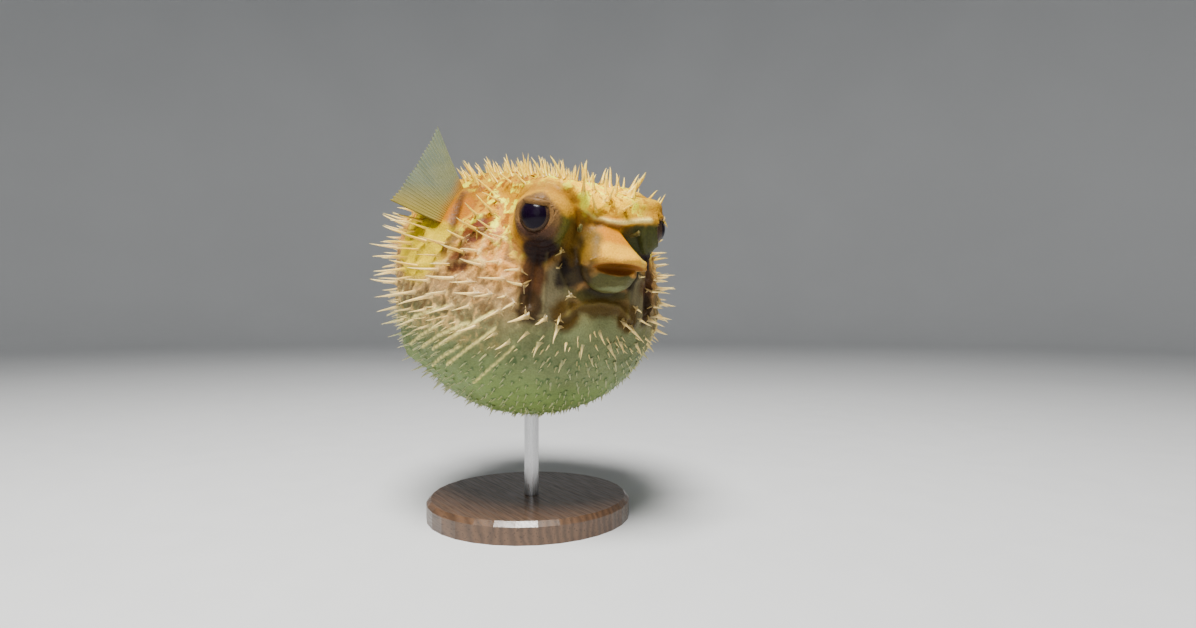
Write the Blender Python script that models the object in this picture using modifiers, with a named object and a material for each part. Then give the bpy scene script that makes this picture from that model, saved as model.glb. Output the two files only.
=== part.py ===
"""A porcupinefish, puffed up and life size, held over a flat base by one rod.

Run with blender --background --python part.py, or from the text editor.
The fish is shaped in a frame of its own: x to the snout, y to its left, z to its back, with the
centre of the swollen belly at the origin and the belly's radius as the unit of length. The empty
fish_pose then carries it to its height over the base, nose a little down and its right side up.
"""

import math

import bmesh
import bpy
import numpy as np
from mathutils import Matrix, Vector

# Driving dimensions, in metres and degrees.
BALL_RADIUS = 0.082
BALL_HEIGHT = 0.152
NOSE_DOWN = 12.0
BANK = 1.5
GAP = 0.0003

BASE_RADIUS = 0.070
BASE_THICKNESS = 0.014
BASE_EDGE = 0.003
ROD_RADIUS = 0.005
ROD_X = 0.004

# The fish's masses of flesh, in ball radii: a centre and half-axes, or two ends and their radii.
# The left eye and its dome sit LEFT_IN nearer the middle than the right ones.
BELLY = ((-0.01, 0.0, 0.0), (1.15, 1.065, 0.975))
BACK = ((-0.24, 0.0, 0.33), (1.15, 0.965, 0.635))
SKULL = ((0.62, 0.0, 0.63), (0.38, 0.52, 0.35))
SKULL_ROUND = 0.17
HOOD = ((0.985, 0.40, 0.855), (0.965, -0.05, 0.825))
HOOD_END = ((0.965, -0.05, 0.825), (0.925, -0.32, 0.925))
HOOD_RADII = (0.088, 0.060)
EYE_CENTRE = (0.895, 0.415, 0.70)
EYE_DOME = (0.225, 0.215, 0.22)
LEFT_IN = 0.070
CHIN = ((1.00, 0.0, 0.40), (1.135, 0.0, 0.388))
CHIN_RADII = (0.19, 0.155)
CHIN_SQUASH = (0.70, 1.0)
TAIL = ((-1.05, 0.0, 0.40), (-1.58, 0.0, 0.43))
TAIL_RADII = (0.26, 0.095)
TAIL_SQUASH = (1.1, 0.9)
GILL = ((0.12, 0.735, 0.815), (0.36, 0.885, 0.535))
GILL_RADIUS = 0.026

# The skin's mesh: rings from snout to tail, and points round each ring.
SKIN_RINGS = 28
SKIN_POINTS = 36

# Where the body is parted: a slanting plane behind the skull, one across the tail's root, and the
# box that holds the jaws. Each plane is a point and the direction that it faces, in ball radii.
NECK_CUT = ((0.32, 0.0, 1.0), (0.72, 0.0, 0.69))
TAIL_CUT = ((-1.17, 0.0, 0.4), (-1.0, 0.0, 0.0))
JAW_BACK = 1.125
JAW_BOTTOM = 0.192
MOUTH_HEIGHT = 0.408
MOUTH_LENS = ((1.335, 0.0, 0.432), (0.125, 0.235, 0.042))

# Eyeballs: radius, how far each stands out along its gaze, and the gaze from straight ahead.
EYEBALL = 0.150
EYE_FORWARD = 0.085
GAZE_OUT = 52.0
GAZE_UP = 8.0

# Spines, in ball radii and degrees.
SPINE_SPACING = 0.190
SPINE_RADIUS = 0.019
SPINE_SHORT = 0.170
SPINE_LONG = 0.285
SPINE_ROOT = 0.030
RAKE_TOP = 24.0
RAKE_FLANK = 44.0
MOUTH = (1.30, 0.0, 0.45)

# Fins, in ball radii: the root's two ends, the first and last rays, and the point inside the body
# that the root runs towards. Both pectoral fins are given for the left side. The raised right one
# has a straight margin, and the others bulge.
PECTORAL_ROOT = ((0.06, 0.70, 0.80), (0.27, 0.87, 0.54))
PECTORAL_INNER = (0.20, 0.20, 0.50)
PECTORAL_RIGHT_RAYS = ((-0.432, 0.111, 0.485), (-0.366, 0.344, 0.129))
PECTORAL_LEFT_RAYS = ((-0.45, 0.20, 0.06), (-0.36, 0.30, -0.12))
DORSAL_ROOT = ((-1.02, 0.0, 0.78), (-1.30, 0.0, 0.64))
DORSAL_RAYS = ((-0.22, 0.0, 0.24), (-0.28, 0.0, 0.08))
ANAL_ROOT = ((-1.20, 0.0, 0.00), (-1.42, 0.0, 0.22))
ANAL_RAYS = ((-0.18, 0.0, -0.24), (-0.27, 0.0, -0.10))
REAR_INNER = (-0.95, 0.0, 0.40)
CAUDAL_ROOT = ((-1.60, 0.0, 0.52), (-1.60, 0.0, 0.34))
CAUDAL_RAYS = ((-0.34, 0.0, 0.15), (-0.34, 0.0, -0.15))
CAUDAL_INNER = (-1.20, 0.0, 0.42)
FIN_SUNK = 0.09
FIN_STEPS = 4
FIN_RIBS = 8
FIN_BULGE = 0.20
FLAT_BULGE = -0.04
FIN_ROOT_HALF = 0.030
FIN_EDGE_HALF = 0.0045
FIN_RIDGE = 0.25

COLOURS = {
    "head": (0.72, 0.55, 0.28),
    "trunk": (0.62, 0.60, 0.42),
    "tail": (0.74, 0.60, 0.30),
    "upper_jaw": (0.74, 0.50, 0.20),
    "lower_jaw": (0.45, 0.46, 0.30),
    "eye_right": (0.05, 0.03, 0.05),
    "eye_left": (0.05, 0.03, 0.05),
    "nostril_right": (0.80, 0.66, 0.40),
    "nostril_left": (0.80, 0.66, 0.40),
    "pectoral_fin_right": (0.66, 0.66, 0.28),
    "pectoral_fin_left": (0.66, 0.66, 0.28),
    "dorsal_fin": (0.66, 0.66, 0.28),
    "anal_fin": (0.66, 0.66, 0.28),
    "caudal_fin": (0.66, 0.66, 0.28),
    "stand_base": (0.10, 0.07, 0.05),
    "stand_rod": (0.55, 0.55, 0.57),
}
STEEL = ("stand_rod",)


# ---------------------------------------------------------------- the body's outline


def soft_join(a, b, width):
    """The smaller of two distances, rounded over a fillet of this width."""
    share = np.clip(0.5 + 0.5 * (b - a) / width, 0.0, 1.0)
    return b * (1 - share) + a * share - width * share * (1 - share)


def soft_cut(a, b, width):
    """The first shape without the second."""
    return -soft_join(-a, b, width)


def to_ellipsoid(points, centre, half):
    half = np.array(half)
    inside = (points - np.array(centre)) / half
    near = np.linalg.norm(inside, axis=-1)
    steep = np.linalg.norm(inside / half, axis=-1)
    return near * (near - 1) / np.maximum(steep, 1e-9)


def to_limb(points, ends, radii, squash=(1.0, 1.0)):
    """Distance to a straight limb that tapers from one end to the other."""
    start, along = np.array(ends[0]), np.array(ends[1]) - np.array(ends[0])
    share = np.clip((points - start) @ along / (along @ along), 0.0, 1.0)
    aside = (points - start - share[..., None] * along) * np.array((1.0, *squash))
    return np.linalg.norm(aside, axis=-1) - (radii[0] + (radii[1] - radii[0]) * share)


def to_block(points, centre, half, rounding):
    beyond = np.abs(points - np.array(centre)) - np.array(half) + rounding
    outside = np.linalg.norm(np.maximum(beyond, 0), axis=-1)
    return outside + np.minimum(beyond.max(axis=-1), 0) - rounding


def to_bill(both):
    """The upper jaw: a flat-topped wedge that widens to a straight lip."""
    x, y, z = np.moveaxis(both, -1, 0)
    top = 0.660 * (x - 1.315) + 0.751 * (z - 0.497)
    fall = 0.73 - 0.879 * (x - 1.05) - z
    side = 0.85 * (y - 0.115 - 0.55 * (x - 1.05) - 0.30 * fall)
    front = x - 1.312 + 0.65 * y**2 + 0.10 * (0.49 - z)
    bill = soft_cut(top, -side, 0.055)
    bill = soft_cut(bill, -front, 0.04)
    bill = soft_cut(bill, z - 0.425, 0.04)
    return soft_cut(bill, x - 0.93, 0.05)


def to_hood(points):
    """The roll of skin along the forehead's front edge, which climbs over the right eye."""
    roll = to_limb(points, HOOD, (HOOD_RADII[0], HOOD_RADII[0]))
    return np.minimum(roll, to_limb(points, HOOD_END, HOOD_RADII))


def to_skin(points):
    """Distance from the fish's skin, in ball radii, negative inside."""
    both = points.copy()
    both[..., 1] = np.abs(both[..., 1])
    eyes = both.copy()
    eyes[..., 1] += LEFT_IN * np.clip(points[..., 1] / 0.2, 0.0, 1.0)
    skin = soft_join(to_ellipsoid(both, *BELLY), to_ellipsoid(both, *BACK), 0.20)
    skin = soft_join(skin, to_block(both, *SKULL, SKULL_ROUND), 0.14)
    skin = soft_join(skin, to_hood(points), 0.05)
    skin = soft_join(skin, to_ellipsoid(eyes, EYE_CENTRE, EYE_DOME), 0.06)
    skin = soft_join(skin, to_bill(both), 0.08)
    skin = soft_join(skin, to_limb(both, CHIN, CHIN_RADII, CHIN_SQUASH), 0.05)
    return soft_join(skin, to_limb(both, TAIL, TAIL_RADII, TAIL_SQUASH), 0.20)


def on_skin(directions, lift=0.0):
    """The point of the skin that each direction meets, from a line along the fish's middle."""
    ahead = directions[..., 0]
    start = np.stack([0.55 * ahead, 0 * ahead, 0.22 + 0.22 * ahead**2], axis=-1)
    near = np.zeros(ahead.shape)
    far = np.full(ahead.shape, 2.2)
    for _ in range(26):
        middle = (near + far) / 2
        inside = to_skin(start + middle[..., None] * directions) < lift
        near = np.where(inside, middle, near)
        far = np.where(inside, far, middle)
    return start + far[..., None] * directions


def outward(points):
    """The skin's normal at each point."""
    step = 0.002
    slopes = [to_skin(points + axis) - to_skin(points - axis) for axis in np.eye(3) * step]
    slope = np.stack(slopes, axis=-1)
    return slope / np.linalg.norm(slope, axis=-1, keepdims=True)


# ---------------------------------------------------------------- objects and joins


def clear_scene():
    for old in list(bpy.data.objects):
        bpy.data.objects.remove(old, do_unlink=True)


def collection(name, hidden=False):
    made = bpy.data.collections.new(name)
    made.hide_render = hidden
    bpy.context.scene.collection.children.link(made)
    return made


def object_from(bm, name, group):
    bmesh.ops.recalc_face_normals(bm, faces=bm.faces[:])
    mesh = bpy.data.meshes.new(name)
    bm.to_mesh(mesh)
    bm.free()
    made = bpy.data.objects.new(name, mesh)
    group.objects.link(made)
    return made


def baked(source, name, group):
    """A plain copy of an object with its modifiers applied, and its place in its mesh."""
    graph = bpy.context.evaluated_depsgraph_get()
    mesh = bpy.data.meshes.new_from_object(source.evaluated_get(graph))
    mesh.transform(source.matrix_world)
    mesh.name = name
    made = bpy.data.objects.new(name, mesh)
    group.objects.link(made)
    return made


def combine(target, other, operation):
    """Boolean of two objects, kept in the first. The second is removed."""
    join = target.modifiers.new(operation.lower(), "BOOLEAN")
    join.operation = operation
    join.solver = "EXACT"
    join.object = other
    bpy.context.view_layer.update()
    graph = bpy.context.evaluated_depsgraph_get()
    mesh = bpy.data.meshes.new_from_object(target.evaluated_get(graph))
    target.modifiers.clear()
    target.data = mesh
    bpy.data.objects.remove(other, do_unlink=True)


def copy_of(source, name, group):
    made = source.copy()
    made.data = source.data.copy()
    made.name = name
    group.objects.link(made)
    return made


def half_space(cut, side, tools):
    """A large box on one side of a cut, half a gap clear of it."""
    point = Vector(cut[0]) * BALL_RADIUS
    facing = Vector(cut[1]).normalized() * side
    size = BALL_RADIUS * 6
    bm = bmesh.new()
    turn = facing.to_track_quat("Z", "Y").to_matrix().to_4x4()
    place = Matrix.Translation(point + facing * (size / 2 + GAP / 2)) @ turn
    bmesh.ops.create_cube(bm, size=size, matrix=place)
    return object_from(bm, "half_space", tools)


def box_between(low, high, tools):
    low, high = Vector(low) * BALL_RADIUS, Vector(high) * BALL_RADIUS
    bm = bmesh.new()
    place = Matrix.Translation((low + high) / 2) @ Matrix.Diagonal((*(high - low), 1.0))
    bmesh.ops.create_cube(bm, size=1.0, matrix=place)
    return object_from(bm, "box", tools)


def blob(centre, half, tools, points=16, rings=8):
    bm = bmesh.new()
    place = Matrix.Translation(Vector(centre) * BALL_RADIUS) @ Matrix.Diagonal((*half, 1.0))
    bmesh.ops.create_uvsphere(bm, u_segments=points, v_segments=rings, radius=BALL_RADIUS, matrix=place)
    return object_from(bm, "blob", tools)


# ---------------------------------------------------------------- flesh


def body(name, tools, lift=0.0):
    """The whole skin as one closed mesh, snout to tail. lift grows it by that many metres."""
    bm = bmesh.new()
    to_x = Matrix.Rotation(math.radians(90), 4, "Y")
    bmesh.ops.create_uvsphere(bm, u_segments=SKIN_POINTS, v_segments=SKIN_RINGS, radius=1.0, matrix=to_x)
    directions = np.array([vert.co for vert in bm.verts])
    directions /= np.linalg.norm(directions, axis=1, keepdims=True)
    points = on_skin(directions, lift / BALL_RADIUS) * BALL_RADIUS
    for vert, point in zip(bm.verts, points):
        vert.co = point
    bmesh.ops.triangulate(bm, faces=bm.faces[:])
    return object_from(bm, name, tools)


def spine_roots():
    """Roots of the spines: staggered rows round the fish, from the brow to the tail."""
    roots = []
    rows = 2 * round(math.pi * 1.22 / SPINE_SPACING / math.sqrt(3))
    for row in range(2, rows):
        polar = math.pi * row / rows
        ring = np.array([[math.cos(polar), math.sin(polar), 0.0]])
        across = np.abs(on_skin(ring)[0][1])
        count = max(6, round(2 * math.pi * across / SPINE_SPACING))
        for place in range(count):
            round_it = 2 * math.pi * (place + 0.5 * (row % 2)) / count
            aside = math.sin(polar)
            roots.append((math.cos(polar), aside * math.sin(round_it), aside * math.cos(round_it)))
    return on_skin(np.array(roots))


def ahead_of(point, cut):
    """How far a point lies in front of a cut."""
    facing = np.array(cut[1]) / np.linalg.norm(cut[1])
    return (point - np.array(cut[0])) @ facing


def bare_of_spines(point, fins):
    """True on the face, the eyelids, the tail's stem, and close to a cut, a gill, a fin or the rod."""
    x, y, z = point
    folded = np.array((x, abs(y), z))
    face = x > 1.06 and z > 0.02 and abs(y) < 0.60 or x > 0.98 and 0.08 < z < 0.78
    eyelids = np.linalg.norm(folded - np.array(EYE_CENTRE)) < 0.285
    at_cut = min(abs(ahead_of(point, NECK_CUT)), abs(ahead_of(point, TAIL_CUT))) < 0.05
    gill = np.linalg.norm(folded - (np.array(GILL[0]) + np.array(GILL[1])) / 2) < 0.23
    at_fin = np.linalg.norm(fins - point, axis=1).min() < 0.085
    at_rod = z < 0 and math.hypot(x - 0.05, y) < 0.13
    return face or eyelids or x < -1.32 or at_cut or gill or at_fin or at_rod


def spine_shape(point, normal):
    """Direction and length of a spine: it leans away from the mouth, and is longest on the flanks."""
    flow = point - np.array(MOUTH)
    flow -= normal * (flow @ normal)
    flow /= max(np.linalg.norm(flow), 1e-6)
    upper = max(0.0, normal[2])
    rake = math.radians(RAKE_FLANK + (RAKE_TOP - RAKE_FLANK) * upper)
    back = min(1.0, max(0.0, (0.95 - point[0]) / 0.9))
    length = SPINE_SHORT + (SPINE_LONG - SPINE_SHORT) * back * (1 - min(1.0, point[2] ** 2))
    below = min(0.40, max(0.0, 0.05 - point[2])) * min(1.0, max(0.0, 0.5 + point[0]))
    return normal * math.cos(rake) + flow * math.sin(rake), length * (1 - 1.15 * below)


def spines(inside, fins, tools):
    """One mesh of all the spines whose roots pass the test inside."""
    bm = bmesh.new()
    roots = spine_roots()
    for point, normal in zip(roots, outward(roots)):
        if bare_of_spines(point, fins) or not inside(point):
            continue
        lean, length = spine_shape(point, normal)
        if np.linalg.norm(fins - (point + lean * length * 0.8), axis=1).min() < 0.06:
            continue
        depth = (length + SPINE_ROOT) * BALL_RADIUS
        turn = Vector(lean).to_track_quat("Z", "X").to_matrix().to_4x4()
        middle = Vector(point + lean * (length - SPINE_ROOT) / 2) * BALL_RADIUS
        bmesh.ops.create_cone(
            bm, cap_ends=True, segments=3, radius1=SPINE_RADIUS * BALL_RADIUS, radius2=0.0,
            depth=depth, matrix=Matrix.Translation(middle) @ turn,
        )
    return object_from(bm, "spines", tools)


# ---------------------------------------------------------------- fins


def fin_point(plan, share, along):
    """A point on a fin's middle surface: share runs from the first ray to the last, along outwards."""
    root, rays, inner, side, bulge = plan
    start = np.array(root[0]) * (1 - share) + np.array(root[1]) * share
    ray = np.array(rays[0]) * (1 - share) + np.array(rays[1]) * share
    ray = ray * (1 + bulge * math.sin(math.pi * share))
    inwards = np.array(inner) - start
    inwards *= FIN_SUNK / np.linalg.norm(inwards)
    sunk = 1 / FIN_STEPS
    out = max(0.0, (along - sunk) / (1 - sunk))
    return (start + ray * out + inwards * max(0.0, 1 - along / sunk)) * np.array((1.0, side, 1.0))


def fin(name, plan, group):
    """A blade that thins from a fleshy root to its margin, with a low ridge along each ray."""
    bm = bmesh.new()
    bmesh.ops.create_grid(bm, x_segments=2 * FIN_RIBS, y_segments=FIN_STEPS, size=0.5)
    bmesh.ops.solidify(bm, geom=bm.faces[:], thickness=1.0)
    heights = [vert.co.z for vert in bm.verts]
    low, high = min(heights), max(heights)
    for vert in bm.verts:
        share, along = vert.co.x + 0.5, vert.co.y + 0.5
        face = (vert.co.z - low) / (high - low) * 2 - 1
        across = fin_point(plan, share + 0.01, along) - fin_point(plan, share - 0.01, along)
        outwards = fin_point(plan, share, along + 0.01) - fin_point(plan, share, along - 0.01)
        facing = np.cross(across, outwards)
        facing /= np.linalg.norm(facing)
        thick = FIN_EDGE_HALF + (FIN_ROOT_HALF - FIN_EDGE_HALF) * (1 - along) ** 3
        ridge = 1 + FIN_RIDGE * math.cos(2 * math.pi * share * FIN_RIBS)
        vert.co = (fin_point(plan, share, along) + facing * face * thick * ridge) * BALL_RADIUS
    return object_from(bm, name, group)


FINS = {
    "pectoral_fin_right": (PECTORAL_ROOT, PECTORAL_RIGHT_RAYS, PECTORAL_INNER, -1.0, FLAT_BULGE),
    "pectoral_fin_left": (PECTORAL_ROOT, PECTORAL_LEFT_RAYS, PECTORAL_INNER, 1.0, FIN_BULGE),
    "dorsal_fin": (DORSAL_ROOT, DORSAL_RAYS, REAR_INNER, 1.0, FIN_BULGE),
    "anal_fin": (ANAL_ROOT, ANAL_RAYS, REAR_INNER, 1.0, FIN_BULGE),
    "caudal_fin": (CAUDAL_ROOT, CAUDAL_RAYS, CAUDAL_INNER, 1.0, FIN_BULGE),
}


def fin_samples():
    """Points spread over all the fins, in ball radii, for keeping spines clear of them."""
    spread = np.linspace(0, 1, 9)
    return np.array([fin_point(plan, u, v) for plan in FINS.values() for u in spread for v in spread])


# ---------------------------------------------------------------- eyes and nostrils


def gaze(side):
    out, up = math.radians(GAZE_OUT), math.radians(GAZE_UP)
    return Vector((math.cos(out) * math.cos(up), side * math.sin(out) * math.cos(up), math.sin(up)))


def eyeball(name, side, group, grow=0.0):
    """A ball set in its dome of flesh, its pole on the gaze."""
    look = gaze(side)
    aside = side * EYE_CENTRE[1] - (LEFT_IN if side > 0 else 0.0)
    centre = Vector((EYE_CENTRE[0], aside, EYE_CENTRE[2])) + look * EYE_FORWARD
    place = Matrix.Translation(centre * BALL_RADIUS) @ look.to_track_quat("Z", "X").to_matrix().to_4x4()
    bm = bmesh.new()
    radius = EYEBALL * BALL_RADIUS + grow
    bmesh.ops.create_uvsphere(bm, u_segments=14, v_segments=9, radius=radius, matrix=place)
    return object_from(bm, name, group)


def nostril(name, side, group):
    """The short fleshy feeler in front of each eye."""
    root, tip = Vector((1.045, side * 0.215, 0.662)), Vector((1.150, side * 0.265, 0.710))
    place = Matrix.Translation((root + tip) / 2 * BALL_RADIUS)
    place @= (tip - root).to_track_quat("Z", "X").to_matrix().to_4x4()
    bm = bmesh.new()
    bmesh.ops.create_cone(
        bm, cap_ends=True, segments=8, radius1=0.030 * BALL_RADIUS, radius2=0.018 * BALL_RADIUS,
        depth=(tip - root).length * BALL_RADIUS, matrix=place,
    )
    return object_from(bm, name, group)


# ---------------------------------------------------------------- stand


def turned(name, profile, group, steps=32):
    """A shape turned round the z axis from (radius, height) points."""
    mesh = bpy.data.meshes.new(name)
    mesh.from_pydata([(r, 0.0, z) for r, z in profile], [(i, i + 1) for i in range(len(profile) - 1)], [])
    made = bpy.data.objects.new(name, mesh)
    group.objects.link(made)
    screw = made.modifiers.new("turn", "SCREW")
    screw.steps = screw.render_steps = steps
    screw.use_merge_vertices = True
    screw.merge_threshold = 0.00001
    screw.use_normal_calculate = True
    return made


def stand(group, tools, pose):
    base = turned("stand_base_profile", [
        (0.0, 0.0), (BASE_RADIUS, 0.0), (BASE_RADIUS, BASE_THICKNESS - BASE_EDGE),
        (BASE_RADIUS - BASE_EDGE, BASE_THICKNESS), (0.0, BASE_THICKNESS),
    ], tools)
    bpy.context.view_layer.update()
    solid = baked(base, "stand_base", group)
    bpy.data.objects.remove(base, do_unlink=True)
    bm = bmesh.new()
    low, high = BASE_THICKNESS + GAP, BALL_HEIGHT
    bmesh.ops.create_cone(
        bm, cap_ends=True, segments=20, radius1=ROD_RADIUS, radius2=ROD_RADIUS, depth=high - low,
        matrix=Matrix.Translation((ROD_X, 0.0, (low + high) / 2)),
    )
    rod = object_from(bm, "stand_rod", group)
    grown = body("grown", tools, GAP)
    grown.matrix_world = pose
    combine(rod, grown, "DIFFERENCE")
    return [solid, rod]


# ---------------------------------------------------------------- the fish


def part_body(group, tools):
    """Head, trunk and tail by two thin cuts, and the jaws cut from the head's front."""
    whole = body("whole", tools)
    head = copy_of(whole, "head", group)
    combine(head, half_space(NECK_CUT, 1, tools), "INTERSECT")
    trunk = copy_of(whole, "trunk", group)
    combine(trunk, half_space(NECK_CUT, -1, tools), "INTERSECT")
    combine(trunk, half_space(TAIL_CUT, -1, tools), "INTERSECT")
    tail = copy_of(whole, "tail", group)
    combine(tail, half_space(TAIL_CUT, 1, tools), "INTERSECT")
    gap = GAP / BALL_RADIUS
    reach = (2.0, 1.0, 1.0)
    upper = copy_of(whole, "upper_jaw", group)
    combine(upper, box_between((JAW_BACK, -1.0, MOUTH_HEIGHT + gap / 2), reach, tools), "INTERSECT")
    lower = copy_of(whole, "lower_jaw", group)
    top = (2.0, 1.0, MOUTH_HEIGHT - gap / 2)
    combine(lower, box_between((JAW_BACK, -1.0, JAW_BOTTOM), top, tools), "INTERSECT")
    for jaw in (upper, lower):
        combine(jaw, blob(*MOUTH_LENS, tools), "DIFFERENCE")
    combine(head, box_between((JAW_BACK - gap, -1.0, JAW_BOTTOM - gap), reach, tools), "DIFFERENCE")
    bpy.data.objects.remove(whole, do_unlink=True)
    return head, trunk, tail, upper, lower


def cut_gills(trunk, tools):
    """The short slit in front of each pectoral fin."""
    for side in (-1, 1):
        top, foot = (Vector((x, side * y, z)) * BALL_RADIUS for x, y, z in GILL)
        turn = (foot - top).to_track_quat("Z", "X").to_matrix().to_4x4()
        place = Matrix.Translation((top + foot) / 2) @ turn
        radius = GILL_RADIUS * BALL_RADIUS
        bm = bmesh.new()
        bmesh.ops.create_cone(
            bm, cap_ends=True, segments=6, radius1=radius, radius2=radius,
            depth=(foot - top).length, matrix=place,
        )
        combine(trunk, object_from(bm, "gill", tools), "DIFFERENCE")


def grow_spines(head, trunk, tail, tools):
    fins = fin_samples()

    def in_head(point):
        return ahead_of(point, NECK_CUT) > 0

    def in_tail(point):
        return ahead_of(point, TAIL_CUT) > 0

    def in_trunk(point):
        return not in_head(point) and not in_tail(point)

    for solid, inside in ((head, in_head), (trunk, in_trunk), (tail, in_tail)):
        combine(solid, spines(inside, fins, tools), "UNION")


def paint(made):
    material = bpy.data.materials.new(made.name)
    material.use_nodes = True
    shader = material.node_tree.nodes["Principled BSDF"]
    shader.inputs["Base Color"].default_value = (*COLOURS[made.name], 1.0)
    shader.inputs["Roughness"].default_value = 0.3 if made.name in STEEL else 0.5
    shader.inputs["Metallic"].default_value = 1.0 if made.name in STEEL else 0.0
    made.data.materials.clear()
    made.data.materials.append(material)


def main():
    clear_scene()
    group = collection("porcupinefish")
    tools = collection("tools", hidden=True)

    pose = bpy.data.objects.new("fish_pose", None)
    group.objects.link(pose)
    pose.location = (0.0, 0.0, BALL_HEIGHT)
    pose.rotation_euler = (
        Matrix.Rotation(math.radians(NOSE_DOWN), 3, "Y") @ Matrix.Rotation(math.radians(-BANK), 3, "X")
    ).to_euler()
    bpy.context.view_layer.update()

    head, trunk, tail, upper, lower = part_body(group, tools)
    fish = [head, trunk, tail, upper, lower]
    for side, word in ((-1, "right"), (1, "left")):
        combine(head, eyeball("socket", side, tools, GAP), "DIFFERENCE")
        fish.append(eyeball("eye_" + word, side, group))
        feeler = nostril("nostril_" + word, side, group)
        combine(feeler, body("grown", tools, GAP), "DIFFERENCE")
        fish.append(feeler)
    for name, plan in FINS.items():
        blade = fin(name, plan, group)
        combine(blade, body("grown", tools, GAP), "DIFFERENCE")
        fish.append(blade)
    cut_gills(trunk, tools)
    grow_spines(head, trunk, tail, tools)

    for made in fish:
        made.parent = pose
    for made in fish + stand(group, tools, pose.matrix_world):
        paint(made)


main()
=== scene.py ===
"""A porcupinefish, puffed up and life size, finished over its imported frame.

Run with blender --background --python scene.py. Every size of the fish is in ball radii, in a frame
of its own: x to the snout, y to its left, z to its back, with the centre of the swollen belly at
the origin. to_world carries it to its height over the base, nose a little down, right side up.
"""

import math

import bmesh
import bpy
import numpy as np
from mathutils import Matrix, Vector, kdtree, noise


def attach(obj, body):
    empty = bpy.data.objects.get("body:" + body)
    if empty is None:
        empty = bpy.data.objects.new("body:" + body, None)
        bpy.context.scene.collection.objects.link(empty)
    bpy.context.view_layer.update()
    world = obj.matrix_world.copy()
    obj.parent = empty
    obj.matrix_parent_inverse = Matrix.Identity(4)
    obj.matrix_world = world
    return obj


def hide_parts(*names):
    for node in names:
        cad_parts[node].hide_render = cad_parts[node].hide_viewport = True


bl_info = {
    "name": "Puffed porcupinefish",
    "version": (1, 0, 0),
    "blender": (4, 5, 0),
    "location": "View3D > Sidebar > Fish",
    "description": "Skin, spines, eyes, fins, stand and stage of a life-size porcupinefish model",
    "category": "Object",
}

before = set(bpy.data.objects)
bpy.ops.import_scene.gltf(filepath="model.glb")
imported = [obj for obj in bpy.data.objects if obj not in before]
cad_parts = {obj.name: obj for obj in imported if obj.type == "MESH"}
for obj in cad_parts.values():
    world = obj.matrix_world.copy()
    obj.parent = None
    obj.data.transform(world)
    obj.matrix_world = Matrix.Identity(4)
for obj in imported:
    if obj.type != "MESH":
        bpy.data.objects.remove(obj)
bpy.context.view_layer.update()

# The fish's masses of flesh: a centre and half-axes, or two ends and their radii.
BELLY = ((-0.01, 0.0, 0.0), (1.15, 1.065, 0.975))
BACK = ((-0.24, 0.0, 0.33), (1.15, 0.965, 0.635))
SKULL = ((0.62, 0.0, 0.63), (0.38, 0.52, 0.35))
SKULL_ROUND = 0.17
HOOD = ((0.985, 0.40, 0.855), (0.965, -0.05, 0.825))
HOOD_END = (HOOD[1], (0.925, -0.32, 0.925))
HOOD_RADII = (0.088, 0.060)
EYE_CENTRE = (0.895, 0.415, 0.70)
EYE_DOME = (0.225, 0.215, 0.22)
CHIN = ((1.00, 0.0, 0.40), (1.135, 0.0, 0.388))
CHIN_RADII = (0.19, 0.155)
CHIN_SQUASH = (0.70, 1.0)
TAIL = ((-1.05, 0.0, 0.40), (-1.58, 0.0, 0.43))
TAIL_RADII = (0.26, 0.095)
TAIL_SQUASH = (1.1, 0.9)
MOUTH_LENS = ((1.335, 0.0, 0.432), (0.125, 0.235, 0.042))
UPPER_LIP = ((1.296, 0.0, 0.490), (1.262, 0.225, 0.480))
UPPER_LIP_RADII = (0.018, 0.016)
LOWER_LIP = ((1.268, 0.0, 0.375), (1.215, 0.165, 0.390))
LOWER_LIP_RADII = (0.034, 0.026)
PECTORAL_LOBE = ((0.05, 0.70, 0.79), (0.25, 0.87, 0.55))
PECTORAL_LOBE_RADII = (0.035, 0.045)
GILL = ((0.12, 0.735, 0.815), (0.36, 0.885, 0.535))
GILL_RADII = (0.018, 0.018)

# The upper jaw's wedge: the edge of its lip, its underside, and where it ends inside the head.
BILL_LIP = (1.315, 0.497)
BILL_UNDER = 0.425
BILL_REAR = 0.93

# Fills the forehead's front edge over the left eye, so that it runs on without a gap.
BROW_FILL = ((1.035, 0.02, 0.770), (1.062, 0.42, 0.792))
BROW_FILL_RADII = (0.044, 0.046)

# Eyeballs: radius, how far each stands out along its gaze, and the gaze off straight ahead, in
# degrees. Then the lids' thickness, and the radius and flat top of the opening between them.
EYEBALL = 0.150
EYE_FORWARD = 0.085
GAZE_OUT = 52.0
GAZE_UP = 8.0
LID = 0.016
OPENING = 0.126
OPENING_TOP = 0.082

# The left eye sits this much nearer the middle than the right one, and looks this far back in
# its socket, in degrees.
LEFT_IN = 0.070
LEFT_BACK = 16.0

# The lids' rolls: how far they stand off the eyeball, and half their thickness below and above it.
ROLL_OFF = 0.004
ROLL_BELOW = 0.013
ROLL_ABOVE = 0.022

# Glass eyes: how far each is sunk below the eyeball's radius, and how far its cornea bulges.
GLASS_SUNK = 0.002
CORNEA = 0.010

# The left nostril's feeler, from root to tip, and the share of it where its knob begins. The right
# one is its mirror image.
FEELER = ((1.045, 0.215, 0.662), (1.122, 0.252, 0.696))
FEELER_KNOB = 0.86

# Where the solids are parted, which keeps a spine off each cut.
NECK_CUT = ((0.32, 0.0, 1.0), (0.72, 0.0, 0.69))
TAIL_CUT = ((-1.17, 0.0, 0.4), (-1.0, 0.0, 0.0))

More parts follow.
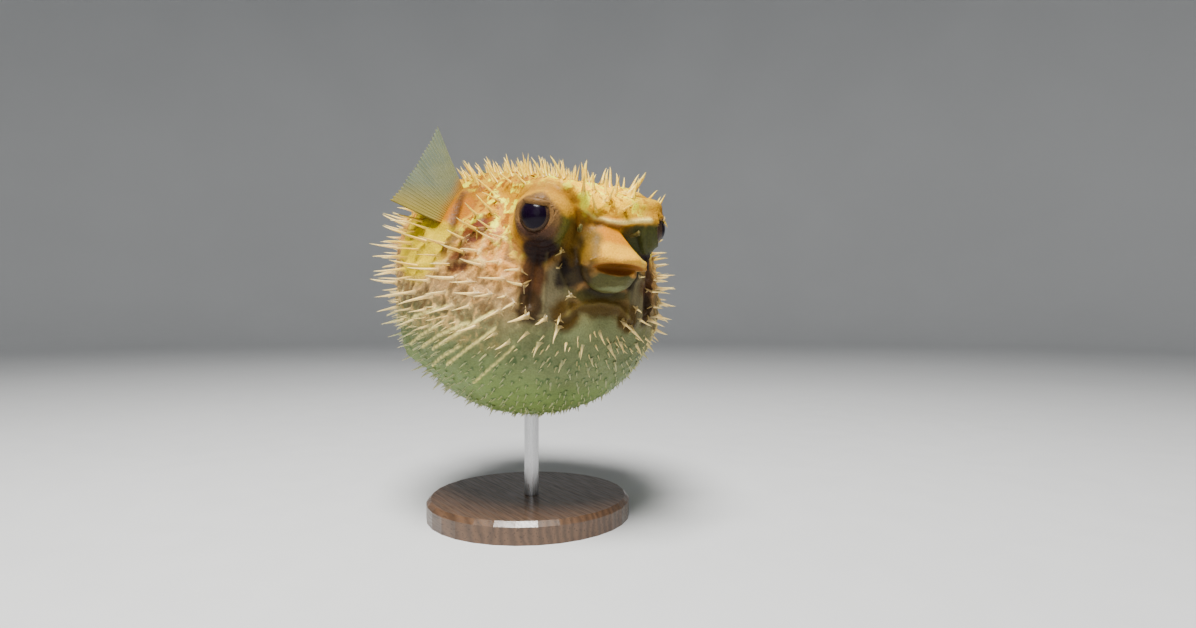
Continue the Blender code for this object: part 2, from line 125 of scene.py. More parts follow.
# Spines, in ball radii and degrees: how far apart the large ones stand, the shortest and longest,
# and how far they lean away from the mouth on the back and on the flanks.
SPINE_SPACING = 0.190
SPINE_SHORT = 0.170
SPINE_LONG = 0.285
RAKE_TOP = 24.0
RAKE_FLANK = 44.0
MOUTH = (1.30, 0.0, 0.45)

# How far a spine's root keeps off each of these, and its tip off a fin. The rod stands at ROD_X,
# and the tail's stem is bare behind STEM.
CLEAR = {"eye": 0.285, "gill": 0.23, "cut": 0.05, "fin": 0.085, "rod": 0.13, "tip": 0.06}
ROD_X = 0.05
STEM = -1.32

# The skin's mean distance from the fish's middle, by which the rows of spines are counted.
MEAN_RADIUS = 1.22

# Roots farther apart than this have no rib of skin drawn between them.
RIB_REACH = 0.26

# How far a spine stands off the skin, how far its root plate's legs reach, how strongly it bends,
# and the width of its patch on the OFBake map.
ROOT_LIFT = 0.006
PLATE_REACH = 0.075
BEND_SCALE = 8
PATCH = 0.0030

# Relief of the skin: half the width of a pucker, a rib's height and half its width, then waves by
# height, fineness and seed, all over and on the back. Last a swelling low on the right side.
PUCKER_WIDTH = 0.045
RIB_HEIGHT = 0.011
RIB_WIDTH = 0.014
WAVES = ((0.010, 3.1, 0.0), (0.004, 11.0, 5.0))
BACK_WAVES = ((0.015, 8.0, 3.0), (0.007, 19.0, 8.0))
LOBE = (-0.12, -0.93, -0.50)
LOBE_HEIGHT = 0.060
LOBE_WIDTH = 0.13

# Wrinkles under the eyes: how far from the eyeball's middle they lie and half the width of their
# band, their height, and the distance from one to the next.
WRINKLE_RING = 0.215
WRINKLE_BAND = 0.055
WRINKLE_HEIGHT = 0.0080
WRINKLE_STEP = 0.034

# Small spines of the face: root and length. The last is a thick one on the brow that leans aside.
FACE_THICK = 0.70
BROW_THICK = 1.75
BROW_LEAN = (0.25, 0.60, 0.745)
FACE_SPINES = (
    ((1.02, -0.335, 0.506), 0.035), ((1.03, -0.335, 0.385), 0.045), ((1.09, -0.25, 0.20), 0.055),
    ((1.09, -0.31, 0.03), 0.070), ((0.89, -0.64, 0.14), 0.09),
    ((1.02, 0.36, 0.36), 0.050), ((1.07, 0.34, 0.12), 0.060), ((1.00, 0.46, 0.90), 0.12),
    ((0.95, 0.52, 0.91), 0.15), ((0.90, 0.60, 0.82), 0.15), ((1.04, 0.50, 0.80), 0.10),
    ((0.86, 0.52, 0.96), 0.16), ((0.93, 0.24, 0.97), 0.20),
)

# Fins: the root's two ends, the first and last rays, the point that the root runs towards, and the
# side. Both pectoral fins are given for the left side.
FINS = {
    "pectoral_fin_right": (
        ((0.06, 0.70, 0.80), (0.27, 0.87, 0.54)), ((-0.432, 0.111, 0.485), (-0.366, 0.344, 0.129)),
        (0.20, 0.20, 0.50), -1.0,
    ),
    "pectoral_fin_left": (
        ((0.06, 0.70, 0.80), (0.27, 0.87, 0.54)), ((-0.45, 0.20, 0.06), (-0.36, 0.30, -0.12)),
        (0.20, 0.20, 0.50), 1.0,
    ),
    "dorsal_fin": (
        ((-1.02, 0.0, 0.78), (-1.30, 0.0, 0.64)), ((-0.22, 0.0, 0.24), (-0.28, 0.0, 0.08)),
        (-0.95, 0.0, 0.40), 1.0,
    ),
    "anal_fin": (
        ((-1.20, 0.0, 0.00), (-1.42, 0.0, 0.22)), ((-0.18, 0.0, -0.24), (-0.27, 0.0, -0.10)),
        (-0.95, 0.0, 0.40), 1.0,
    ),
    "caudal_fin": (
        ((-1.60, 0.0, 0.52), (-1.60, 0.0, 0.34)), ((-0.34, 0.0, 0.15), (-0.34, 0.0, -0.15)),
        (-1.20, 0.0, 0.42), 1.0,
    ),
}
FIN_RAYS = {
    "pectoral_fin_right": 22, "pectoral_fin_left": 22, "dorsal_fin": 14, "anal_fin": 14, "caudal_fin": 10,
}

# How deep a fin's root is sunk and the share of the fin that this takes, how far the fin bulges
# past a straight margin, half its thickness at the root and at the margin, and how far it waves.
FIN_SUNK = 0.09
SUNK_SHARE = 0.25
FIN_BULGE = 0.20
FLAT_FIN = "pectoral_fin_right"
FLAT_BULGE = -0.04
FIN_ROOT_HALF = 0.030
FIN_EDGE_HALF = 0.0045
FIN_WAVE = 0.006

# Folds and ridges: points that each runs through, half its width, its height (a furrow's is below
# nothing), and how far it's painted pale, a painted highlight on a ridge and the pale of lying spines on a
# streak (or, below nothing, dark, painted shade in a furrow). Each is on both sides.
FOLDS = (
    ("bar fold", ((1.00, 0.53, 0.54), (0.96, 0.50, 0.31), (0.97, 0.50, 0.12)), 0.030, -0.020, -0.5),
    ("bar side", ((1.03, 0.44, 0.48), (1.01, 0.42, 0.28), (1.02, 0.41, 0.06)), 0.018, 0.014, 0.10),
    ("bar line", ((0.90, 0.575, 0.42), (0.90, 0.565, 0.25), (0.94, 0.555, 0.08)), 0.016, 0.010, 0.12),
    ("wedge edge", ((1.03, 0.355, 0.40), (1.08, 0.27, 0.24), (1.09, 0.25, 0.06)), 0.024, 0.006, 0.10),
    ("jaw furrow", ((1.07, 0.24, 0.52), (1.12, 0.22, 0.36), (1.14, 0.12, 0.235), (1.14, 0.0, 0.225)),
     0.030, -0.020, -0.7),
    ("throat fold", ((1.13, 0.0, 0.165), (1.12, 0.16, 0.14), (1.07, 0.30, 0.03)), 0.020, 0.010, 0.10),
    ("throat edge", ((1.13, 0.0, 0.07), (1.11, 0.17, 0.07), (1.06, 0.30, -0.03)), 0.025, -0.010, 0.0),
    ("cheek furrow", ((1.07, 0.26, 0.66), (1.04, 0.33, 0.55), (1.02, 0.37, 0.45)), 0.022, -0.014, -0.5),
    ("side ridge", ((-0.10, 1.04, 0.18), (0.24, 1.01, 0.24), (0.48, 0.92, 0.30), (0.71, 0.75, 0.35)),
     0.016, 0.016, 0.55),
    ("rib 1", ((0.26, 0.93, 0.46), (0.34, 0.97, 0.28)), 0.016, 0.012, 0.35),
    ("rib 2", ((0.40, 0.88, 0.52), (0.46, 0.93, 0.32)), 0.016, 0.012, 0.35),
    ("rib 3", ((0.50, 0.83, 0.50), (0.57, 0.86, 0.30)), 0.014, 0.012, 0.35),
    ("rib 4", ((0.61, 0.73, 0.56), (0.67, 0.76, 0.36)), 0.016, 0.012, 0.40),
    ("rib 5", ((0.72, 0.66, 0.56), (0.76, 0.70, 0.36)), 0.014, 0.010, 0.35),
    ("streak 1", ((0.85, 0.71, 0.02), (0.62, 0.84, -0.18), (0.36, 0.92, -0.36)), 0.010, 0.020, 1.0),
    ("streak 2", ((0.87, 0.68, -0.09), (0.68, 0.79, -0.28), (0.45, 0.84, -0.46)), 0.010, 0.018, 1.0),
    ("streak 3", ((0.72, 0.82, -0.08), (0.46, 0.93, -0.24), (0.20, 0.96, -0.40)), 0.010, 0.020, 1.0),
    ("streak 4", ((0.64, 0.83, -0.27), (0.42, 0.90, -0.43), (0.20, 0.88, -0.56)), 0.009, 0.016, 0.9),
    ("streak 5", ((0.57, 0.92, 0.00), (0.30, 1.02, -0.12), (0.02, 1.03, -0.24)), 0.010, 0.020, 1.0),
    ("streak 6", ((0.48, 0.95, -0.16), (0.24, 1.00, -0.30), (0.00, 0.98, -0.42)), 0.010, 0.018, 0.9),
    ("streak 7", ((0.94, 0.56, -0.20), (0.78, 0.66, -0.42), (0.58, 0.68, -0.58)), 0.009, 0.014, 0.7),
)

# The edge of the roll along the forehead, which differs from side to side: points, half its width,
# its height, how pale it's painted as a painted highlight along the edge, and where it fades out on the
# right.
HOOD_LIP_WIDTH = 0.020
HOOD_LIP_HEIGHT = 0.020
HOOD_LIP_HIGHLIGHT = 0.62
HOOD_LIP_FADE = (-0.26, -0.06)
HOOD_LIP = (
    (1.075, 0.44, 0.790), (1.090, 0.33, 0.782), (1.070, 0.18, 0.768), (1.055, 0.0, 0.748),
    (1.048, -0.11, 0.756), (1.045, -0.25, 0.820), (1.010, -0.36, 0.905),
)

# Marks of the skin, painted in this order: centre, half-axes, colour, how far out the colour is
# whole and where it ends, and its strength. Each is on both sides but those called "one".
# The back's freckles lie over the first list and under the second. Ribs keep off OWN_COLOUR.
MARKS = (
    ("belly front", (1.05, 0.0, -0.20), (0.60, 0.70, 0.40), (0.145, 0.170, 0.070), 0.5, 1.1, 0.85),
    ("belly olive", (0.92, -0.35, -0.28), (0.42, 0.40, 0.26), (0.150, 0.130, 0.058), 0.4, 1.1, 0.7),
    ("temple", (0.50, 0.62, 0.80), (0.48, 0.34, 0.24), (0.46, 0.20, 0.0), 0.5, 1.1, 0.9),
    ("cheek pink", (0.72, 0.68, 0.46), (0.20, 0.22, 0.22), (0.68, 0.27, 0.045), 0.4, 1.1, 0.8),
    ("forehead", (0.90, 0.0, 0.92), (0.27, 0.54, 0.18), (1.0, 0.55, 0.0), 0.7, 1.08, 0.95),
    ("one left plateau", (0.98, 0.36, 0.93), (0.17, 0.28, 0.125), (1.0, 0.64, 0.002), 0.6, 1.05, 0.9),
)
FACE_MARKS = (
    # Painted shade: the left side, turned from the light, is painted darker.
    ("one left side shade", (0.60, 0.93, 0.12), (0.50, 0.42, 0.60), (0.085, 0.088, 0.036), 0.5, 1.1, 0.75),
    ("yellow side", (0.06, 0.96, 0.40), (0.42, 0.44, 0.36), (0.58, 0.41, 0.0), 0.70, 1.05, 1.0),
    ("fin root", (0.12, 0.76, 0.70), (0.26, 0.24, 0.24), (0.24, 0.085, 0.0), 0.5, 1.1, 0.95),
    ("gill slit", (0.25, 0.81, 0.67), (0.12, 0.18, 0.24), (0.30, 0.095, 0.001), 0.6, 1.1, 0.95),
    ("shoulder blot", (0.53, 0.77, 0.54), (0.105, 0.19, 0.140), (0.095, 0.016, 0.005), 0.60, 1.10, 0.95),
    ("side blot", (0.54, 0.86, 0.33), (0.105, 0.18, 0.13), (0.080, 0.020, 0.007), 0.60, 1.10, 0.92),
    ("fore blot", (0.41, 0.90, 0.44), (0.060, 0.15, 0.14), (0.075, 0.020, 0.006), 0.5, 1.05, 0.85),
    ("orbit", (0.895, 0.415, 0.72), (0.31, 0.31, 0.29), (0.46, 0.22, 0.012), 0.75, 1.05, 0.95),
    # Dark skin and painted shade in the hollow between the eye's dome and the snout.
    ("cheek", (1.05, 0.30, 0.58), (0.14, 0.14, 0.14), (0.060, 0.030, 0.006), 0.6, 1.1, 0.95),
    ("valley", (1.07, 0.25, 0.655), (0.13, 0.11, 0.095), (0.085, 0.062, 0.006), 0.5, 1.08, 0.95),
    # Painted shade on the front and underside of the eye's dome.
    ("orbit green shade", (1.06, 0.42, 0.645), (0.18, 0.20, 0.145), (0.055, 0.055, 0.006), 0.6, 1.08, 0.95),
    ("eye ring", (1.00, 0.555, 0.715), (0.185, 0.185, 0.165), (0.14, 0.072, 0.024), 0.80, 1.08, 0.95),
    # The bar's dark colour, with painted shade under the eye's dome.
    ("under eye bar and shade", (0.99, 0.55, 0.61), (0.19, 0.20, 0.10), (0.060, 0.026, 0.014), 0.5, 1.12, 0.95),
    ("wedge", (1.05, 0.35, 0.19), (0.12, 0.145, 0.28), (0.12, 0.105, 0.055), 0.65, 1.08, 0.95),
    ("bar middle", (0.955, 0.49, 0.30), (0.14, 0.13, 0.20), (0.070, 0.026, 0.007), 0.6, 1.05, 0.97),
    ("bar foot", (0.97, 0.49, 0.09), (0.13, 0.12, 0.14), (0.030, 0.014, 0.003), 0.6, 1.1, 0.95),
    ("bar top", (0.97, 0.47, 0.50), (0.17, 0.16, 0.13), (0.013, 0.004, 0.003), 0.60, 1.10, 1.0),
    # Painted shadow beside the muzzle, over dark skin.
    ("jaw side shadow", (1.08, 0.28, 0.39), (0.11, 0.11, 0.19), (0.010, 0.004, 0.002), 0.6, 1.06, 1.0),
    # Painted shadow under the chin, over dark skin.
    ("chin", (1.12, 0.0, 0.21), (0.15, 0.34, 0.075), (0.035, 0.034, 0.005), 0.6, 1.1, 0.95),
    ("throat", (1.12, 0.0, 0.12), (0.13, 0.33, 0.085), (0.058, 0.032, 0.002), 0.6, 1.1, 0.95),
    ("throat lobe", (1.09, 0.27, 0.05), (0.11, 0.13, 0.14), (0.060, 0.030, 0.001), 0.6, 1.1, 0.95),
    # Painted shade on the sides of the snout, below its lit top.
    ("snout side shade", (1.13, 0.23, 0.56), (0.18, 0.15, 0.15), (0.105, 0.056, 0.007), 0.5, 1.1, 0.97),
    ("one snout", (1.18, 0.030, 0.65), (0.24, 0.170, 0.18), (0.52, 0.19, 0.0), 0.60, 1.05, 1.0),
    ("snout front", (1.26, 0.0, 0.55), (0.12, 0.27, 0.09), (0.80, 0.40, 0.010), 0.4, 1.05, 0.95),
    # Painted shade on the right flank of the snout and lip.
    ("one snout flank shade", (1.10, -0.205, 0.63), (0.23, 0.135, 0.19), (0.13, 0.072, 0.009), 0.55, 1.15, 0.95),
    ("one lip flank shade", (1.18, -0.250, 0.52), (0.17, 0.115, 0.15), (0.17, 0.090, 0.008), 0.6, 1.2, 0.95),
    # Painted shadow below the forehead's overhanging edge.
    ("under hood shadow", (1.075, 0.0, 0.712), (0.09, 0.26, 0.030), (0.20, 0.085, 0.008), 0.5, 1.05, 0.85),
    ("mouth corner", (1.24, 0.22, 0.415), (0.10, 0.10, 0.055), (0.13, 0.070, 0.018), 0.4, 1.15, 0.9),
    ("lower lip", (1.25, 0.0, 0.32), (0.17, 0.26, 0.10), (0.075, 0.070, 0.018), 0.8, 1.05, 1.0),
    ("lip side", (1.15, 0.225, 0.335), (0.12, 0.085, 0.090), (0.048, 0.031, 0.010), 0.7, 1.15, 0.97),
    # The lower lip's pale rim, with a painted highlight along it.
    ("lip rim and highlight", (1.26, 0.0, 0.285), (0.08, 0.17, 0.030), (0.17, 0.19, 0.085), 0.4, 1.05, 0.7),
    # Painted shade on the front of the left eye's dome.
    ("one left orbit shade", (1.04, 0.40, 0.645), (0.22, 0.28, 0.13), (0.052, 0.054, 0.011), 0.75, 1.05, 1.0),
    # Painted highlight along the left edge of the snout's top.
    ("one left snout highlight", (1.20, 0.20, 0.55), (0.14, 0.06, 0.15), (0.62, 0.46, 0.070), 0.3, 1.05, 0.85),
    # Painted shade in a band just above the forehead's edge.
    ("one brow shade", (1.035, 0.12, 0.835), (0.05, 0.24, 0.028), (0.50, 0.24, 0.010), 0.3, 1.1, 0.65),
)

OWN_COLOUR = ("yellow side", "fin root", "gill slit", "shoulder blot", "side blot", "fore blot")

# The colour of the skin by height on the side, below every mark, from the bottom to the top. Its dark green
# low down is painted shade on a belly that is whiter in life.
UP_THE_SIDE = (
    (-1.00, (0.18, 0.25, 0.060)), (-0.60, (0.165, 0.23, 0.068)), (-0.30, (0.165, 0.20, 0.075)),
    (-0.08, (0.20, 0.18, 0.075)), (0.12, (0.34, 0.21, 0.085)), (0.36, (0.56, 0.26, 0.050)),
    (0.58, (0.56, 0.28, 0.010)), (1.00, (0.48, 0.27, 0.004)),
)

# The other paints: of the skin, the spines, the eyes and feelers, the fins, and the stand.
PAINTS = {
    # The skin's ridge paint is painted highlight on ridges and the pale of the streaks' spines; its furrow
    # paint and the brow's crease paint are painted shade.
    "pale patch": (0.92, 0.94, 0.012), "skin hollow": (0.14, 0.078, 0.028), "skin rib": (0.95, 0.52, 0.15),
    "pucker": (1.0, 0.66, 0.22), "ridge": (1.0, 0.84, 0.26), "furrow": (0.010, 0.005, 0.003),
    "brow crease": (0.23, 0.085, 0.004),
    "flank spine": (0.98, 0.72, 0.28), "belly spine": (0.27, 0.29, 0.12), "belly grain": (0.40, 0.41, 0.20),
    "back spine": (0.80, 0.46, 0.008), "back grain": (0.96, 0.68, 0.060),
    "yellow spine": (0.72, 0.44, 0.004), "spine tip": (0.98, 0.78, 0.36),
    "iris": (0.022, 0.011, 0.008), "iris streak": (0.070, 0.038, 0.020), "iris glint": (0.13, 0.11, 0.045),
    "iris edge": (0.045, 0.026, 0.014), "eye rim": (0.08, 0.045, 0.022), "eye rim grain": (0.16, 0.10, 0.05),
    "pupil ring": (0.075, 0.045, 0.020), "pupil": (0.0020, 0.0006, 0.0035),
    "pupil grain": (0.0060, 0.0018, 0.0100),
    "feeler": (0.060, 0.044, 0.008), "feeler grain": (0.14, 0.115, 0.032),
    "film grain": (0.115, 0.118, 0.050), "film margin": (0.080, 0.102, 0.072),
    "fin ray": (0.160, 0.160, 0.080), "low film": (0.19, 0.140, 0.016), "fin foot": (0.23, 0.092, 0.001),
    "wood pore": (0.022, 0.011, 0.006), "steel": (0.46, 0.46, 0.47), "steel grain": (0.62, 0.62, 0.63),
}

# The values that the skin's mesh carries for its paint. FAR is a distance that's out of reach.
SKIN_VALUES = ("root_gap", "web", "crease", "mouth", "line")
FAR = 9.0

# The skin has its finer rings out to this many degrees off the snout.
FACE_ANGLE = 52.0

# The stage: the cove that turns the floor's edge up into a wall, and the height of the wall. Then
# the lamps' places, sizes and tints, and the sky's tint.
COVE = 1.0
WALL = 3.0
KEY_LAMP = ((0.42, -0.42, 1.50), 0.65, (1.0, 0.98, 0.94))
FILL_LAMP = ((1.2, -1.0, 0.75), 1.2, (0.96, 0.98, 1.0))
SKY_TINT = (0.92, 0.96, 1.0)

# The camera: degrees off the snout, distance and how far it's below the belly's middle in ball
# radii, degrees that it looks past the fish, lens and sensor in millimetres, and nearest sight.
CAMERA_YAW = 27.0
CAMERA_AWAY = 6.0
CAMERA_BELOW = 0.1545
CAMERA_PAST = 5.64
CAMERA_LENS = 21.04
CAMERA_SENSOR = 36.0
CAMERA_NEAR = 0.01


# ---------------------------------------------------------------- settings


class FishShape(bpy.types.PropertyGroup):
    radius: bpy.props.FloatProperty(
        name="Belly radius", description="Unit of length of the fish", default=0.082, min=0.01,
        subtype="DISTANCE", unit="LENGTH",
    )
    height: bpy.props.FloatProperty(
        name="Height", description="Centre of the belly over the floor", default=0.152,
        subtype="DISTANCE", unit="LENGTH",
    )
    nose_down: bpy.props.FloatProperty(
        name="Nose down", description="Pitch of the fish", default=math.radians(12.0), subtype="ANGLE",
    )
    bank: bpy.props.FloatProperty(
        name="Bank", description="How far the right side is raised", default=math.radians(1.5),
        subtype="ANGLE",
    )
    face_rings: bpy.props.IntProperty(
        name="Face rings", description="Rings of the skin's mesh over the face", default=150, min=20,
    )
    body_rings: bpy.props.IntProperty(
        name="Body rings", description="Rings of the skin's mesh behind the face", default=132, min=20,
    )
    around: bpy.props.IntProperty(
        name="Points round", description="Points in each ring of the skin", default=308, min=24,
    )
    puckers: bpy.props.FloatProperty(
        name="Puckers", description="Height of the skin drawn up round each spine, in belly radii",
        default=0.030, min=0.0, subtype="FACTOR",
    )


class FishSpines(bpy.types.PropertyGroup):
    thickness: bpy.props.FloatProperty(
        name="Root thickness", description="Radius of a spine where it leaves the skin",
        default=0.00190, min=0.0001, subtype="DISTANCE", unit="LENGTH",
    )
    bend: bpy.props.FloatProperty(
        name="Bend", description="How far a spine's tip curves aside, as a share of its length",
        default=0.10, subtype="FACTOR",
    )
    sides: bpy.props.IntProperty(name="Sides", description="Flats round a spine", default=7, min=3)
    steps: bpy.props.IntProperty(name="Steps", description="Rings along a spine", default=6, min=2)
    small: bpy.props.FloatProperty(
        name="Small spines", description="Length of the spines between the large ones, as a share",
        default=0.72, min=0.1, max=1.0, subtype="FACTOR",
    )
    fine: bpy.props.FloatProperty(
        name="Belly spines", description="Length of the belly's fine spines, as a share", default=0.40,
        min=0.1, max=1.0, subtype="FACTOR",
    )
    fine_spacing: bpy.props.FloatProperty(
        name="Belly spacing", description="Spacing of the belly's fine spines, in belly radii",
        default=0.066, min=0.05, subtype="FACTOR",
    )
    seed: bpy.props.IntProperty(name="Seed", description="Seed of the spines' spread", default=7)


class FishColours(bpy.types.PropertyGroup):
    bone: bpy.props.FloatVectorProperty(
        name="Spine", description="Colour of the spines", default=(0.95, 0.62, 0.17), min=0.0, max=1.0,
        subtype="COLOR",
    )
    spot: bpy.props.FloatVectorProperty(
        name="Back spots", description="Colour of the freckles of the back", default=(0.22, 0.065, 0.003),
        min=0.0, max=1.0, subtype="COLOR",
    )
    belly_spot: bpy.props.FloatVectorProperty(
        name="Belly spots", description="Colour round the spines of the belly",
        default=(0.060, 0.105, 0.034), min=0.0, max=1.0, subtype="COLOR",
    )
    mouth: bpy.props.FloatVectorProperty(
        name="Mouth", description="Colour inside the mouth", default=(0.20, 0.075, 0.010), min=0.0,
        max=1.0, subtype="COLOR",
    )
    fin: bpy.props.FloatVectorProperty(
        name="Fin", description="Colour of the fins' membrane", default=(0.085, 0.098, 0.056), min=0.0,
        max=1.0, subtype="COLOR",
    )
    wood: bpy.props.FloatVectorProperty(
        name="Wood", description="Colour of the base", default=(0.070, 0.036, 0.018), min=0.0, max=1.0,
        subtype="COLOR",
    )


class FishStage(bpy.types.PropertyGroup):
    floor_radius: bpy.props.FloatProperty(
        name="Floor", description="Radius of the flat floor", default=3.0, subtype="DISTANCE",
        unit="LENGTH",
    )
    floor_colour: bpy.props.FloatVectorProperty(
        name="Floor colour", description="Colour of the floor", default=(0.62, 0.63, 0.64), min=0.0,
        max=1.0, subtype="COLOR",
    )
    key_power: bpy.props.FloatProperty(
        name="Key lamp", description="Power of the lamp above", default=70.0, unit="POWER",
    )
    fill_power: bpy.props.FloatProperty(
        name="Fill lamp", description="Power of the lamp in front", default=5.0, unit="POWER",
    )
    sky: bpy.props.FloatProperty(
        name="Sky", description="Strength of the even light", default=0.20, min=0.0,
    )


def settings():
    return bpy.context.scene.fish_shape


# ---------------------------------------------------------------- the body's outline


def soft_join(a, b, width):
    """The smaller of two distances, rounded over a fillet of this width."""
    share = np.clip(0.5 + 0.5 * (b - a) / width, 0.0, 1.0)
    return b * (1 - share) + a * share - width * share * (1 - share)


def soft_cut(a, b, width):
    """The first shape without the second."""
    return -soft_join(-a, b, width)


def swell(distance, width):
    """A smooth swelling: 1 at no distance, and next to nothing beyond twice the width."""
    return np.exp(-((distance / width) ** 2))


def to_ellipsoid(points, centre, half):
    half = np.array(half)
    inside = (points - np.array(centre)) / half
    near = np.linalg.norm(inside, axis=-1)
    steep = np.linalg.norm(inside / half, axis=-1)
    return near * (near - 1) / np.maximum(steep, 1e-9)


def along_limb(points, ends):
    """Share of the way along a limb, and what is left beside it."""
    start, along = np.array(ends[0]), np.array(ends[1]) - np.array(ends[0])
    share = np.clip((points - start) @ along / (along @ along), 0.0, 1.0)
    return share, points - start - share[..., None] * along


def to_limb(points, ends, radii, squash=(1.0, 1.0)):
    """Distance to a straight limb that tapers from one end to the other."""
    share, aside = along_limb(points, ends)
    aside = aside * np.array((1.0, *squash))
    return np.linalg.norm(aside, axis=-1) - (radii[0] + (radii[1] - radii[0]) * share)


def to_bill(both, crisp, ridge=0.055):
    """The upper jaw: a flat-topped wedge that widens to a straight lip, its edges more or less crisp
    and its two upper ridges rounded."""
    x, y, z = np.moveaxis(both, -1, 0)
    top = 0.660 * (x - BILL_LIP[0]) + 0.751 * (z - BILL_LIP[1])
    fall = 0.73 - 0.879 * (x - 1.05) - z
    side = 0.85 * (y - 0.115 - 0.55 * (x - 1.05) - 0.30 * fall)
    front = x - 1.312 + 0.65 * y**2 + 0.10 * (0.49 - z)
    bill = soft_cut(top, -side, ridge)
    bill = soft_cut(bill, -front, crisp)
    bill = soft_cut(bill, z - BILL_UNDER, crisp)
    return soft_cut(bill, x - BILL_REAR, 0.05)


def to_chin(both):
    return to_limb(both, CHIN, CHIN_RADII, CHIN_SQUASH)


def to_block(points, centre, half, rounding):
    beyond = np.abs(points - np.array(centre)) - np.array(half) + rounding
    outside = np.linalg.norm(np.maximum(beyond, 0), axis=-1)
    return outside + np.minimum(beyond.max(axis=-1), 0) - rounding


def folded(points):
    both = points.copy()
    both[..., 1] = np.abs(both[..., 1])
    return both


def to_body(both):
    """Distance from the trunk and skull alone."""
    skin = soft_join(to_ellipsoid(both, *BELLY), to_ellipsoid(both, *BACK), 0.20)
    return soft_join(skin, to_block(both, *SKULL, SKULL_ROUND), 0.14)


def to_hood(points):
    """The roll of skin along the forehead's front edge, which climbs over the right eye."""
    roll = to_limb(points, HOOD, (HOOD_RADII[0], HOOD_RADII[0]))
    return np.minimum(roll, to_limb(points, HOOD_END, HOOD_RADII))


def to_tail(both):
    return to_limb(both, TAIL, TAIL_RADII, TAIL_SQUASH)


def joined(skin, *others):
    """A shape with others joined on in turn, each given with the width of its fillet."""
    for other, width in others:
        skin = soft_join(skin, other, width)
    return skin


def to_skin(points):
    """Distance from the outline that the solids have, in ball radii, negative inside."""
    both = folded(points)
    return joined(
        to_body(both), (to_hood(points), 0.05), (to_ellipsoid(by_eyes(points), EYE_CENTRE, EYE_DOME), 0.06),
        (to_bill(both, 0.04), 0.08), (to_chin(both), 0.05), (to_tail(both), 0.20),
    )


def gaze(side):
    out, up = math.radians(GAZE_OUT), math.radians(GAZE_UP)
    return np.array((math.cos(out) * math.cos(up), side * math.sin(out) * math.cos(up), math.sin(up)))


def eye_frame(side):
    """The eyeball's centre, and the directions across, up and out of the eye."""
    look = gaze(side)
    across = np.cross((0.0, 0.0, 1.0), look)
    across /= np.linalg.norm(across)
    aside = side * EYE_CENTRE[1] - (LEFT_IN if side > 0 else 0.0)
    centre = np.array((EYE_CENTRE[0], aside, EYE_CENTRE[2])) + look * EYE_FORWARD
    return centre, across, np.cross(look, across), look


def by_eyes(points):
    """Points folded onto one side so that either eye comes to the place of the right one."""
    both = folded(points)
    both[..., 1] += LEFT_IN * np.clip(points[..., 1] / 0.2, 0.0, 1.0)
    return both


def in_eye(both):
    """Folded points in an eye's own frame: across, up and out from the eyeball's centre."""
    centre, across, up, look = eye_frame(-1.0)
    mirror = np.array((1.0, -1.0, 1.0))
    return (both - centre * mirror) @ (np.array([across, up, look]) * mirror).T


def to_socket(both):
    """The hole that each eye looks out of, flat along its top."""
    across, up, out = np.moveaxis(in_eye(both), -1, 0)
    hole = np.maximum(np.hypot(across, up) - OPENING, up - OPENING_TOP)
    return np.maximum(hole, 0.045 - out)


def to_muzzles(both):
    return soft_join(to_bill(both, 0.018, 0.120), to_chin(both), 0.030)


def to_orbit(eyes):
    lids = np.linalg.norm(in_eye(eyes), axis=-1) - EYEBALL - LID
    return soft_join(to_ellipsoid(eyes, EYE_CENTRE, EYE_DOME), lids, 0.03)


def to_fine_skin(points):
    """The outline with crisper joins, lips, lids, mouth, sockets and gills."""
    both, eyes = folded(points), by_eyes(points)
    low = np.clip((0.72 - points[..., 2]) / 0.16, 0.0, 1.0)
    skin = joined(
        to_body(both), (to_orbit(eyes), 0.030 + 0.07 * low), (to_hood(points), 0.028),
        (to_limb(points, BROW_FILL, BROW_FILL_RADII), 0.050), (to_muzzles(both), 0.090),
        (to_limb(both, UPPER_LIP, UPPER_LIP_RADII), 0.012),
        (to_limb(both, LOWER_LIP, LOWER_LIP_RADII), 0.025), (to_tail(both), 0.20),
        (to_limb(both, PECTORAL_LOBE, PECTORAL_LOBE_RADII), 0.07),
    )
    skin = soft_cut(skin, to_ellipsoid(both, *MOUTH_LENS), 0.010)
    skin = soft_cut(skin, to_socket(eyes), 0.006)
    return soft_cut(skin, to_limb(both, GILL, GILL_RADII), 0.012)


def on_skin(directions, outline):
    """The point of an outline that each direction meets, from a line along the fish's middle."""
    ahead = directions[..., 0]
    start = np.stack([0.55 * ahead, 0 * ahead, 0.22 + 0.22 * ahead**2], axis=-1)
    near = np.zeros(ahead.shape)
    far = np.full(ahead.shape, 2.2)
    for _ in range(26):
        middle = (near + far) / 2
        inside = outline(start + middle[..., None] * directions) < 0
        near = np.where(inside, middle, near)
        far = np.where(inside, far, middle)
    return start + far[..., None] * directions


def outward(points, outline, step=0.002):
    """An outline's normal at each point."""
    slopes = [outline(points + axis) - outline(points - axis) for axis in np.eye(3) * step]
    slope = np.stack(slopes, axis=-1)
    return slope / np.maximum(np.linalg.norm(slope, axis=-1, keepdims=True), 1e-9)


def spherical(polar, round_it):
    """Directions from the angle off the snout and the angle round the fish from its back."""
    polar, round_it = np.broadcast_arrays(polar, round_it)
    aside = np.sin(polar)
    return np.stack([np.cos(polar), aside * np.sin(round_it), aside * np.cos(round_it)], axis=-1)


def pose():
    """Carries the fish's own frame to the world."""
    shape = settings()
    turn = Matrix.Rotation(shape.nose_down, 4, "Y") @ Matrix.Rotation(-shape.bank, 4, "X")
    return Matrix.Translation((0, 0, shape.height)) @ turn @ Matrix.Scale(shape.radius, 4)


